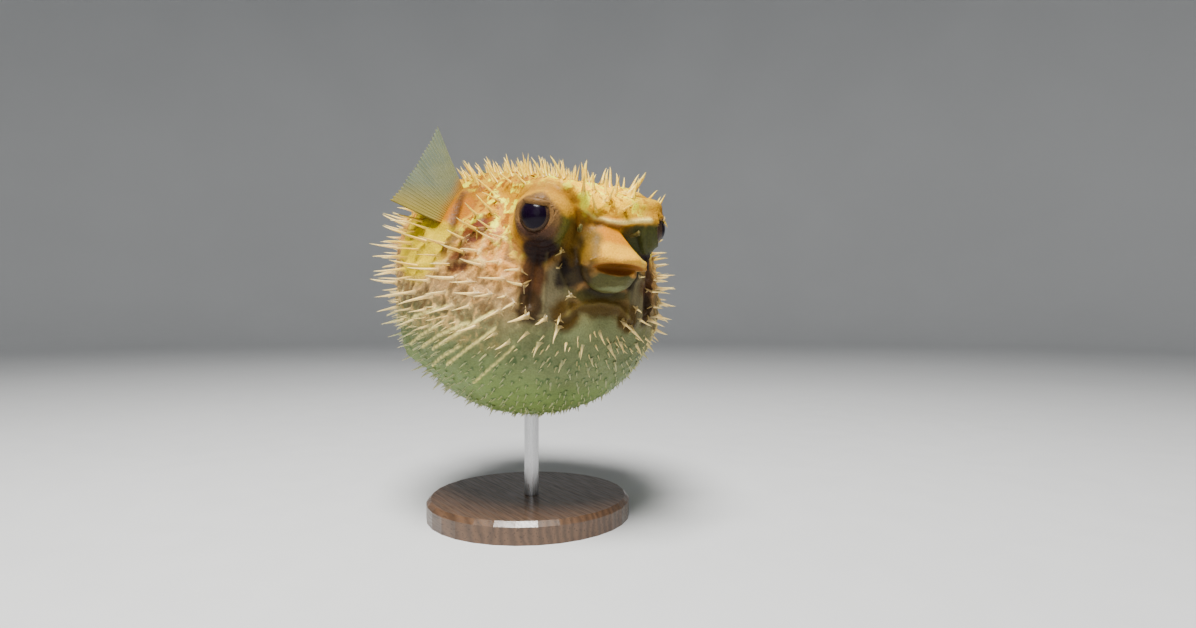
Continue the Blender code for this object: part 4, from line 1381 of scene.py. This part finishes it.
def spine_tree(with_plates):
    """Grows a bent, tapering spine, and if asked its three-legged root plate, on every point."""
    tree, given = group_tree(
        "spines", ("Sides", "NodeSocketInt"), ("Steps", "NodeSocketInt"), ("Bend", "NodeSocketFloat"),
        ("Thickness", "NodeSocketFloat"), ("Material", "NodeSocketMaterial"),
    )
    tip = combined(tree, given["Bend"], 0.0, 1.0)
    shaft = add(tree, "GeometryNodeCurveQuadraticBezier", {
        "Resolution": given["Steps"], "Start": (0.0, 0.0, -0.12), "Middle": (0.0, 0.0, 0.5), "End": tip,
    })
    along = add(tree, "GeometryNodeSplineParameter").outputs["Factor"]
    curve = stored(tree, shaft.outputs["Curve"], "along", along)
    left = maths(tree, "SUBTRACT", 1.0, along)
    slim = maths(tree, "POWER", left, 1.05)
    sleeve = times(tree, maths(tree, "POWER", left, 9.0), 0.7)
    radius = maths(tree, "MAXIMUM", maths(tree, "MULTIPLY_ADD", slim, 0.62, sleeve), 0.02)
    spine = swept(tree, curve, radius, given["Sides"])
    width = times(tree, named(tree, "thick"), given["Thickness"])
    scale = combined(tree, width, width, named(tree, "size"))
    spines = set_on(tree, given["Geometry"], spine, "lean", named(tree, "spin"), scale)
    if not with_plates:
        close_tree(tree, spines, given["Material"])
        return tree

    leg = add(tree, "GeometryNodeCurvePrimitiveLine", {
        "Start": (0.0, 0.0, 0.20), "End": (1.0, 0.0, -0.16),
    })
    legs = add(tree, "GeometryNodeResampleCurve", {"Curve": leg.outputs[0], "Count": 4})
    leg_curve = stored(tree, legs.outputs[0], "along", times(tree, along, 0.16))
    leg_radius = times(tree, maths(tree, "POWER", left, 0.7), 0.19)
    leg_mesh = swept(tree, leg_curve, maths(tree, "MAXIMUM", leg_radius, 0.01), 5)
    plate = tree.nodes.new("GeometryNodeJoinGeometry")
    for third in range(3):
        turned = add(tree, "GeometryNodeTransform", {
            "Geometry": leg_mesh, "Rotation": (0.0, 0.0, 2 * math.pi * third / 3),
        })
        tree.links.new(turned.outputs[0], plate.inputs[0])
    reach = named(tree, "plate")
    plate_scale = combined(tree, reach, reach, reach)
    plates = set_on(tree, given["Geometry"], plate.outputs[0], "upright", named(tree, "spin"), plate_scale)
    both = tree.nodes.new("GeometryNodeJoinGeometry")
    for mesh in (plates, spines):
        tree.links.new(mesh, both.inputs[0])
    close_tree(tree, both.outputs[0], given["Material"])
    return tree


def spine_material():
    """Bone on the side, olive under the belly and yellow on the back, in the skin's colour at the foot."""
    made, tree, shader, where = new_material("fish_spine")
    colour, place, up, own = painted(tree)
    along = attribute(tree, "along")
    bare = between(tree, maths(tree, "MULTIPLY_ADD", grain(tree, place, 9.0), 0.16, along), 0.14, 0.40)
    grained = spread(tree, grain(tree, where, 700.0))
    flank = mixed(tree, grained, bpy.context.scene.fish_colours.bone, "flank spine")
    belly = mixed(tree, grained, "belly spine", "belly grain")
    back = mixed(tree, grained, "back spine", "back grain")
    tint = mixed(tree, between(tree, up, -0.42, -0.02), belly, flank)
    tint = mixed(tree, between(tree, up, 0.40, 0.75), tint, back)
    tint = mixed(tree, times(tree, own, 0.85), tint, "yellow spine")
    colour = mixed(tree, bare, mixed(tree, 0.25, colour, tint), tint)
    colour = mixed(tree, between(tree, along, 0.55, 1.0, 0.0, 0.45), colour, "spine tip")
    fibres = grain(tree, stretched(tree, where, (1.0, 1.0, 0.25)), 1500.0)
    set_sockets(
        tree, shader, Base_Color=colour, Normal=bumps(tree, fibres, 0.00008, 0.6),
        Roughness=spread(tree, grain(tree, where, 400.0), 0.26, 0.45),
        Subsurface_Weight=0.25, Subsurface_Radius=(1.0, 0.8, 0.5), Subsurface_Scale=0.0012,
        Coat_Weight=0.05, Coat_Roughness=0.25, Specular_IOR_Level=0.35,
    )
    return made


def on_map(turns):
    """A share of a turn as a place on the OFBake map, kept off the map's edges."""
    return turns * 0.99 + 0.005


def lay_patches(made):
    """The OFBake map: each spine is a small disc at its root's place on the unwrapped skin."""
    mesh = made.data
    reach = PATCH / 2 * (1.0 - 0.9 * values_of(mesh, "along"))
    turn = 2 * math.pi * values_of(mesh, "turn")
    u = values_of(mesh, "root_u") + reach * np.cos(turn)
    v = values_of(mesh, "root_v") + reach * np.sin(turn)
    corners = np.zeros(len(mesh.loops), np.int32)
    mesh.loops.foreach_get("vertex_index", corners)
    uv = mesh.uv_layers.new(name="OFBake")
    uv.uv.foreach_set("vector", np.stack([u[corners], v[corners]], axis=1).astype(np.float32).ravel())


def grow_spines(name, layout, chosen, tree, sides, steps, material):
    """Makes one piece of the chosen spines of the layout."""
    spines, radius = bpy.context.scene.fish_spines, settings().radius
    layout = {key: values[chosen] for key, values in layout.items()}
    random = np.random.default_rng(spines.seed + 1)
    roots = layout["root"] + layout["normal"] * ROOT_LIFT
    z = roots[:, 2]
    side = np.clip((z + 0.30) / 0.4, 0.30, 1.0) * np.clip((0.95 - z) / 0.3, 0.5, 1.0)
    polar, round_it = layout["angles"].T
    source = mesh_object(name + "_roots", roots)
    set_values(
        source.data, lean=turned_to_world(layout["lean"]), upright=turned_to_world(layout["normal"]),
        size=layout["length"] * radius, thick=layout["thick"],
        spin=random.uniform(0, 2 * math.pi, len(roots)),
        plate=PLATE_REACH * radius * side * layout["thick"],
        root_u=on_map(round_it / (2 * math.pi) % 1.0), root_v=on_map(polar / math.pi),
    )
    made = grown(name, source, tree, {
        "Sides": sides, "Steps": steps, "Bend": spines.bend * BEND_SCALE,
        "Thickness": spines.thickness, "Material": material,
    })
    lay_patches(made)
    finish_piece(made, "skin")


class FISH_OT_spines(bpy.types.Operator):
    """Grow the spines and their root plates over the skin"""

    bl_idname = "fish.spines"
    bl_label = "Spines"

    def execute(self, context):
        spines = context.scene.fish_spines
        layout, material = spine_layout(), spine_material()
        fine = layout["fine"]
        grow_spines("fish_spines", layout, ~fine, spine_tree(True), spines.sides, spines.steps, material)
        grow_spines("fish_belly_spines", layout, fine, spine_tree(False), 5, 4, material)
        return {"FINISHED"}


# ---------------------------------------------------------------- eyes and feelers


def eye_material():
    """Rings about the gaze, by degrees off it: the pupil, a thin dark ring, the iris and the rim."""
    made, tree, shader, where = new_material("fish_eye")
    streaks = grain(tree, where, 1400.0, 3.0, 0.7)
    iris = mixed(tree, between(tree, streaks, 0.35, 0.65), "iris", "iris streak")
    glint = between(tree, grain(tree, where, 2600.0, 1.0), 0.62, 0.70, 0.0, 0.5)
    iris = mixed(tree, glint, iris, "iris glint")
    rim = mixed(tree, spread(tree, grain(tree, where, 500.0)), "eye rim", "eye rim grain")
    wavy = maths(tree, "MULTIPLY_ADD", grain(tree, where, 300.0), 3.0, attribute(tree, "off_gaze"))
    colour = mixed(tree, between(tree, wavy, 60.0, 64.0), iris, rim)
    edge = mixed(tree, 0.5, colour, "iris edge")
    ring = mixed(tree, between(tree, wavy, 40.5, 42.5), "pupil ring", edge)
    colour = mixed(tree, between(tree, wavy, 41.5, 44.5), ring, colour)
    pupil = mixed(tree, grain(tree, where, 200.0), "pupil", "pupil grain")
    colour = mixed(tree, between(tree, wavy, 40.5, 41.5), pupil, colour)
    set_sockets(
        tree, shader, Base_Color=colour, Normal=bumps(tree, streaks, 0.00003, 0.5),
        Roughness=spread(tree, grain(tree, where, 90.0), 0.16, 0.28),
        Coat_Weight=0.12, Coat_Roughness=0.06, Coat_IOR=1.30, Specular_IOR_Level=0.10,
    )
    return made


def make_eye(side, word, material):
    """A glass eye with a bulging cornea, its rings centred on the gaze."""
    centre, across, up, look = eye_frame(side)
    back = Matrix.Rotation(math.radians(LEFT_BACK if side > 0 else 0.0), 3, Vector(up))
    across, look = np.array(back @ Vector(across)), np.array(back @ Vector(look))
    rings, around = 64, 72
    points, angles = [], []
    for ring in range(1, rings):
        off = math.pi * ring / rings
        radius = EYEBALL - GLASS_SUNK + CORNEA * math.exp(-((off / 0.62) ** 4))
        for spot in range(around):
            turn = 2 * math.pi * spot / around
            aside = across * math.cos(turn) + up * math.sin(turn)
            points.append(centre + radius * (look * math.cos(off) + aside * math.sin(off)))
            angles.append(math.degrees(off))
    points.append(centre + look * (EYEBALL - GLASS_SUNK + CORNEA))
    points.append(centre - look * (EYEBALL - GLASS_SUNK))
    angles += [0.0, 180.0]
    made = mesh_object("glass_eye_" + word, points, capped_faces(rings - 1, around))
    set_values(made.data, off_gaze=angles)
    made.data.materials.append(material)
    finish_piece(made, "eye", "eye_" + word)


def make_feeler(side, word, material):
    """The short two-lobed feeler that holds the nostrils in front of each eye."""
    root, tip = (np.array(point) * (1.0, side, 1.0) for point in FEELER)
    along = tip - root
    long = np.linalg.norm(along)
    along /= long
    across = np.cross(along, (0.0, 0.0, 1.0))
    across /= np.linalg.norm(across)
    up = np.cross(across, along)
    rings, around = 22, 20
    points = []
    for ring in range(rings):
        share = ring / (rings - 1)
        waist = 0.019 - 0.008 * share + 0.006 * swell(share - FEELER_KNOB, 0.12)
        rounding = math.sqrt(max(0.0, 1 - max(0.0, (share - FEELER_KNOB) / (1 - FEELER_KNOB)) ** 2))
        radius = waist * rounding + 0.0008
        sag = -0.010 * math.sin(math.pi * share)
        for spot in range(around):
            turn = 2 * math.pi * spot / around
            lobe = 1 - 0.28 * share * abs(math.cos(turn))
            aside = radius * lobe * (across * math.cos(turn) + up * 1.1 * math.sin(turn))
            points.append(root + along * long * share + up * sag + aside)
    points += [root, tip + along * 0.0005]
    made = mesh_object("nostril_feeler_" + word, points, capped_faces(rings, around))
    face_outwards(made.data)
    made.data.materials.append(material)
    finish_piece(made, "skin", "nostril_" + word)


def feeler_material():
    made, tree, shader, where = new_material("fish_feeler")
    share = between(tree, grain(tree, where, 500.0, 3.0), 0.35, 0.65)
    set_sockets(
        tree, shader, Base_Color=mixed(tree, share, "feeler", "feeler grain"),
        Normal=bumps(tree, grain(tree, where, 900.0, 3.0), 0.0001, 0.7),
        Roughness=spread(tree, grain(tree, where, 200.0), 0.35, 0.55),
        Subsurface_Weight=0.1, Subsurface_Scale=0.001, Specular_IOR_Level=0.15,
    )
    return made


class FISH_OT_eyes(bpy.types.Operator):
    """Make both glass eyes and the nostrils' feelers in front of them"""

    bl_idname = "fish.eyes"
    bl_label = "Eyes and feelers"

    def execute(self, context):
        glass, flesh = eye_material(), feeler_material()
        for side, word in ((-1.0, "right"), (1.0, "left")):
            make_eye(side, word, glass)
            make_feeler(side, word, flesh)
        return {"FINISHED"}


# ---------------------------------------------------------------- fins


def fin_material():
    """A greenish film, paler on the rays and yellow low down, over a fleshy brown foot."""
    made, tree, shader, where = new_material("fish_fin")
    along, ray = attribute(tree, "along"), attribute(tree, "ray")
    place = fish_place(tree)
    up = split(tree, place)[2]
    mottled = between(tree, grain(tree, where, 90.0, 3.0), 0.35, 0.65)
    film = mixed(tree, mottled, bpy.context.scene.fish_colours.fin, "film grain")
    film = mixed(tree, between(tree, along, 0.45, 1.0, 0.0, 0.7), film, "film margin")
    film = mixed(tree, between(tree, ray, 0.35, 0.85, 0.0, 0.75), film, "fin ray")
    film = mixed(tree, between(tree, up, 0.62, 0.86, 0.85, 0.0), film, "low film")
    fleshy = maths(tree, "MULTIPLY_ADD", grain(tree, place, 8.0), 0.14, along)
    set_sockets(
        tree, shader, Base_Color=mixed(tree, between(tree, fleshy, 0.34, 0.56), "fin foot", film),
        Normal=bumps(tree, grain(tree, where, 600.0, 3.0), 0.0001, 0.5),
        Roughness=spread(tree, grain(tree, where, 150.0), 0.55, 0.70),
        Subsurface_Weight=0.15, Subsurface_Radius=(1.0, 1.0, 0.5), Subsurface_Scale=0.002,
        Specular_IOR_Level=0.05,
    )
    return made


def ray_tree():
    """Sweeps a fin ray along every line of a mesh, as thick as its points say."""
    tree, given = group_tree("fin_rays", ("Sides", "NodeSocketInt"), ("Material", "NodeSocketMaterial"))
    curve = add(tree, "GeometryNodeMeshToCurve", {"Mesh": given["Geometry"]})
    mesh = swept(tree, curve.outputs[0], named(tree, "thick"), given["Sides"])
    close_tree(tree, mesh, given["Material"])
    return tree


def fin_surface(plan, rays, share, along):
    """A fin's middle surface with its margin nicked between the rays."""
    nick = 1 - 0.028 * (1 - on_ray(rays, share)) * np.clip(along * 3 - 2, 0, 1)
    return fin_point(plan, share, along * nick)


def on_ray(rays, share):
    """1 on each of a fin's rays, and 0 halfway between two."""
    return 0.5 + 0.5 * np.cos(2 * math.pi * rays * share)


def film_half(along):
    """Half a fin's thickness, from its root to its margin."""
    return FIN_EDGE_HALF + (FIN_ROOT_HALF - FIN_EDGE_HALF) * (1 - along) ** 3


def film_wave(share, along):
    """How far a fin waves off its middle surface, more towards its margin."""
    return FIN_WAVE * np.sin(2 * math.pi * (share * 3.2 + along * 0.6)) * along**2


def fin_facing(plan, share, along, step=0.004):
    """The direction that a fin's film faces at each of its points."""
    over = fin_point(plan, share + step, along) - fin_point(plan, share - step, along)
    outwards = fin_point(plan, share, along + step) - fin_point(plan, share, along - step)
    facing = np.cross(over, outwards)
    return facing / np.linalg.norm(facing, axis=-1, keepdims=True)


def two_sheets(across, out):
    """Faces of two sheets of across by out points, one behind the other, and of the rim between."""
    count, faces = across * out, []
    for i in range(across - 1):
        for j in range(out - 1):
            a, b, c, d = i * out + j, (i + 1) * out + j, (i + 1) * out + j + 1, i * out + j + 1
            faces.append((a, b, c, d))
            faces.append((count + d, count + c, count + b, count + a))
    edge = [i * out for i in range(across)] + [(across - 1) * out + j for j in range(1, out)]
    edge += [i * out + out - 1 for i in range(across - 2, -1, -1)] + [j for j in range(out - 2, 0, -1)]
    for here, there in zip(edge, edge[1:] + edge[:1]):
        faces.append((there, here, count + here, count + there))
    return faces


def ray_lines(name, plan, rays, facing):
    """The lines that a fin's rays follow, on both sides of its film."""
    across, out = facing.shape[:2]
    steps = np.linspace(0.18, 0.995, 20)
    lines, edges = [], []
    for ray in range(rays + 1):
        here = np.full(steps.shape, ray / rays)
        near = np.clip(np.round(here * (across - 1)).astype(int), 0, across - 1)
        normal = facing[near, np.clip(np.round(steps * (out - 1)).astype(int), 0, out - 1)]
        for side in (1, -1):
            lift = film_wave(here, steps) + 0.85 * film_half(steps) * side
            edges += [(len(lines) + k, len(lines) + k + 1) for k in range(len(steps) - 1)]
            lines += list(fin_surface(plan, rays, here, steps) + normal * lift[:, None])
    outs = np.tile(steps, 2 * (rays + 1))
    made = mesh_object(name + "_lines", lines, edges=edges)
    thick = (0.0050 - 0.0028 * outs) * settings().radius
    set_values(made.data, thick=thick, along=outs, ray=np.ones(len(lines)))
    return made


def make_fin(name, plan, tree, material):
    """A thin film that thickens at its rays and its root, and the rays on both its sides."""
    rays = FIN_RAYS[name]
    across, out = rays * 4 + 1, 30
    share, along = np.meshgrid(np.linspace(0, 1, across), np.linspace(0, 1, out), indexing="ij")
    facing = fin_facing(plan, share, along)
    rib = on_ray(rays, share)
    middle = fin_surface(plan, rays, share, along) + facing * film_wave(share, along)[..., None]
    half = film_half(along) * (0.78 + 0.22 * rib**2)
    sheets = [middle + facing * (half * sign)[..., None] for sign in (1, -1)]
    points = np.concatenate([sheet.reshape(-1, 3) for sheet in sheets])
    film = mesh_object(name + "_film", points, two_sheets(across, out))
    set_values(film.data, along=np.tile(along.ravel(), 2), ray=np.tile(rib.ravel() ** 4, 2))
    film.data.materials.append(material)
    lines = ray_lines(name, plan, rays, facing)
    rods = grown(name + "_rays", lines, tree, {"Sides": 5, "Material": material})
    with bpy.context.temp_override(active_object=film, selected_editable_objects=[film, rods]):
        bpy.ops.object.join()
    film.name = film.data.name = name.replace("_fin", "_fin_film")
    finish_piece(film, "fin", name)


class FISH_OT_fins(bpy.types.Operator):
    """Make the five fins, each a thin film between fine rays"""

    bl_idname = "fish.fins"
    bl_label = "Fins"

    def execute(self, context):
        tree, material = ray_tree(), fin_material()
        for name, plan in FINS.items():
            make_fin(name, plan, tree, material)
        return {"FINISHED"}


# ---------------------------------------------------------------- stand


def wood_material():
    """Dark walnut with long rings, open pores and a satin coat."""
    made, tree, shader, where = new_material("stand_walnut")
    rings = add(tree, "ShaderNodeTexWave", {
        "Vector": stretched(tree, where, (1.0, 7.0, 7.0)), "Scale": 9.0, "Distortion": 5.0,
        "Detail": 3.0, "Detail Scale": 1.4,
    }, bands_direction="Y").outputs["Fac"]
    pores = grain(tree, stretched(tree, where, (60.0, 900.0, 900.0)), 1.0, 3.0)
    wood = bpy.context.scene.fish_colours.wood
    colour = mixed(tree, rings, wood, tuple(channel * 1.7 for channel in wood))
    colour = mixed(tree, between(tree, pores, 0.55, 0.70, 0.0, 0.7), colour, "wood pore")
    height = maths(tree, "ADD", times(tree, rings, 0.4), pores)
    set_sockets(
        tree, shader, Base_Color=colour, Normal=bumps(tree, height, 0.00008, 0.5),
        Roughness=spread(tree, pores, 0.28, 0.48), Coat_Weight=0.35, Coat_Roughness=0.18,
    )
    return made


def steel_material():
    """Steel brushed along the rod."""
    made, tree, shader, where = new_material("stand_steel")
    lines = grain(tree, stretched(tree, where, (900.0, 900.0, 60.0)), 1.0, 3.0)
    set_sockets(
        tree, shader, Base_Color=mixed(tree, spread(tree, lines), "steel", "steel grain"),
        Normal=bumps(tree, lines, 0.00003, 0.5), Roughness=spread(tree, lines, 0.24, 0.40), Metallic=1.0,
    )
    return made


class FISH_OT_stand(bpy.types.Operator):
    """Give the stand's base its wood and its rod its brushed steel"""

    bl_idname = "fish.stand"
    bl_label = "Stand"

    def execute(self, context):
        for name, material in (("stand_base", wood_material()), ("stand_rod", steel_material())):
            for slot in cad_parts[name].material_slots:
                slot.material = material
        return {"FINISHED"}


# ---------------------------------------------------------------- stage


def floor_material():
    made, tree, shader, where = new_material("stage_floor")
    pale = bpy.context.scene.fish_stage.floor_colour
    darker = tuple(channel * 0.96 for channel in pale)
    set_sockets(
        tree, shader, Base_Color=mixed(tree, spread(tree, grain(tree, where, 1.6)), darker, pale),
        Roughness=spread(tree, grain(tree, where, 30.0), 0.62, 0.74),
    )
    return made


def aimed(made, place, sight):
    """Puts a lamp or the camera in its place, looking along a direction."""
    made.location = place
    made.rotation_euler = Vector(sight).to_track_quat("-Z", "Y").to_euler()
    return made


def area_lamp(name, power, place, size, tint):
    """A round soft lamp that shines on the fish."""
    lamp = bpy.data.lights.new(name, "AREA")
    lamp.shape = "DISK"
    lamp.size = size
    lamp.energy = power
    lamp.color = tint
    aimed(new_object(name, lamp), place, Vector((0.0, 0.0, settings().height)) - Vector(place))


def make_floor(radius):
    """A flat floor whose edge curves up into a wall."""
    profile = [(radius * k / 6, 0.0) for k in range(1, 7)]
    for angle in range(10, 91, 10):
        turn = math.radians(angle)
        profile.append((radius + COVE * math.sin(turn), COVE * (1 - math.cos(turn))))
    profile.append((radius + COVE, WALL))
    around = 72
    turns = [2 * math.pi * k / around for k in range(around)]
    points = [(r * math.cos(turn), r * math.sin(turn), z) for r, z in profile for turn in turns]
    points.append((0.0, 0.0, 0.0))
    faces = tube_faces(len(profile), around)
    faces += [(len(points) - 1, k, (k + 1) % around) for k in range(around)]
    mesh = bpy.data.meshes.new("stage_floor")
    mesh.from_pydata(points, [], faces)
    mesh.shade_smooth()
    mesh.materials.append(floor_material())
    new_object("stage_floor", mesh)


def make_camera():
    """The camera, ahead of the fish on its right, which looks past the fish's left side."""
    shape = settings()
    data = bpy.data.cameras.new("camera")
    data.sensor_width, data.lens, data.clip_start = CAMERA_SENSOR, CAMERA_LENS, CAMERA_NEAR
    away, yaw = CAMERA_AWAY * shape.radius, math.radians(CAMERA_YAW)
    place = (away * math.cos(yaw), -away * math.sin(yaw), shape.height - CAMERA_BELOW * shape.radius)
    facing = yaw + math.radians(CAMERA_PAST)
    camera = aimed(new_object("camera", data), place, (-math.cos(facing), math.sin(facing), 0.0))
    bpy.context.scene.camera = camera


class FISH_OT_stage(bpy.types.Operator):
    """Set up the pale floor, the soft lamps and the camera"""

    bl_idname = "fish.stage"
    bl_label = "Stage"

    def execute(self, context):
        stage = context.scene.fish_stage
        make_floor(stage.floor_radius)
        area_lamp("key_lamp", stage.key_power, *KEY_LAMP)
        area_lamp("fill_lamp", stage.fill_power, *FILL_LAMP)
        world = bpy.data.worlds.new("soft_sky")
        world.use_nodes = True
        sky = world.node_tree.nodes["Background"]
        sky.inputs["Color"].default_value = rgba(SKY_TINT)
        sky.inputs["Strength"].default_value = stage.sky
        context.scene.world = world
        make_camera()
        return {"FINISHED"}


class FISH_PT_panel(bpy.types.Panel):
    """Lists the fish's pieces and their settings"""

    bl_idname = "FISH_PT_panel"
    bl_label = "Puffed porcupinefish"
    bl_space_type = "VIEW_3D"
    bl_region_type = "UI"
    bl_category = "Fish"

    def draw(self, context):
        for group in GROUPS:
            settings_of = getattr(context.scene, group)
            for name in settings_of.__annotations__:
                self.layout.prop(settings_of, name)
        for piece in PIECES:
            self.layout.operator(piece.bl_idname)


PIECES = (FISH_OT_skin, FISH_OT_spines, FISH_OT_eyes, FISH_OT_fins, FISH_OT_stand, FISH_OT_stage)
GROUPS = {
    "fish_shape": FishShape, "fish_spines": FishSpines, "fish_colours": FishColours,
    "fish_stage": FishStage,
}


def register():
    for group in GROUPS.values():
        bpy.utils.register_class(group)
    for name, group in GROUPS.items():
        setattr(bpy.types.Scene, name, bpy.props.PointerProperty(type=group))
    for piece in (*PIECES, FISH_PT_panel):
        bpy.utils.register_class(piece)


def unregister():
    for piece in (*PIECES, FISH_PT_panel):
        bpy.utils.unregister_class(piece)
    for name, group in GROUPS.items():
        delattr(bpy.types.Scene, name)
        bpy.utils.unregister_class(group)


def main():
    register()
    bpy.ops.fish.stage()
    bpy.ops.fish.skin()
    bpy.ops.fish.spines()
    bpy.ops.fish.eyes()
    bpy.ops.fish.fins()
    bpy.ops.fish.stand()
    bpy.context.view_layer.update()


if __name__ == "__main__":
    main()
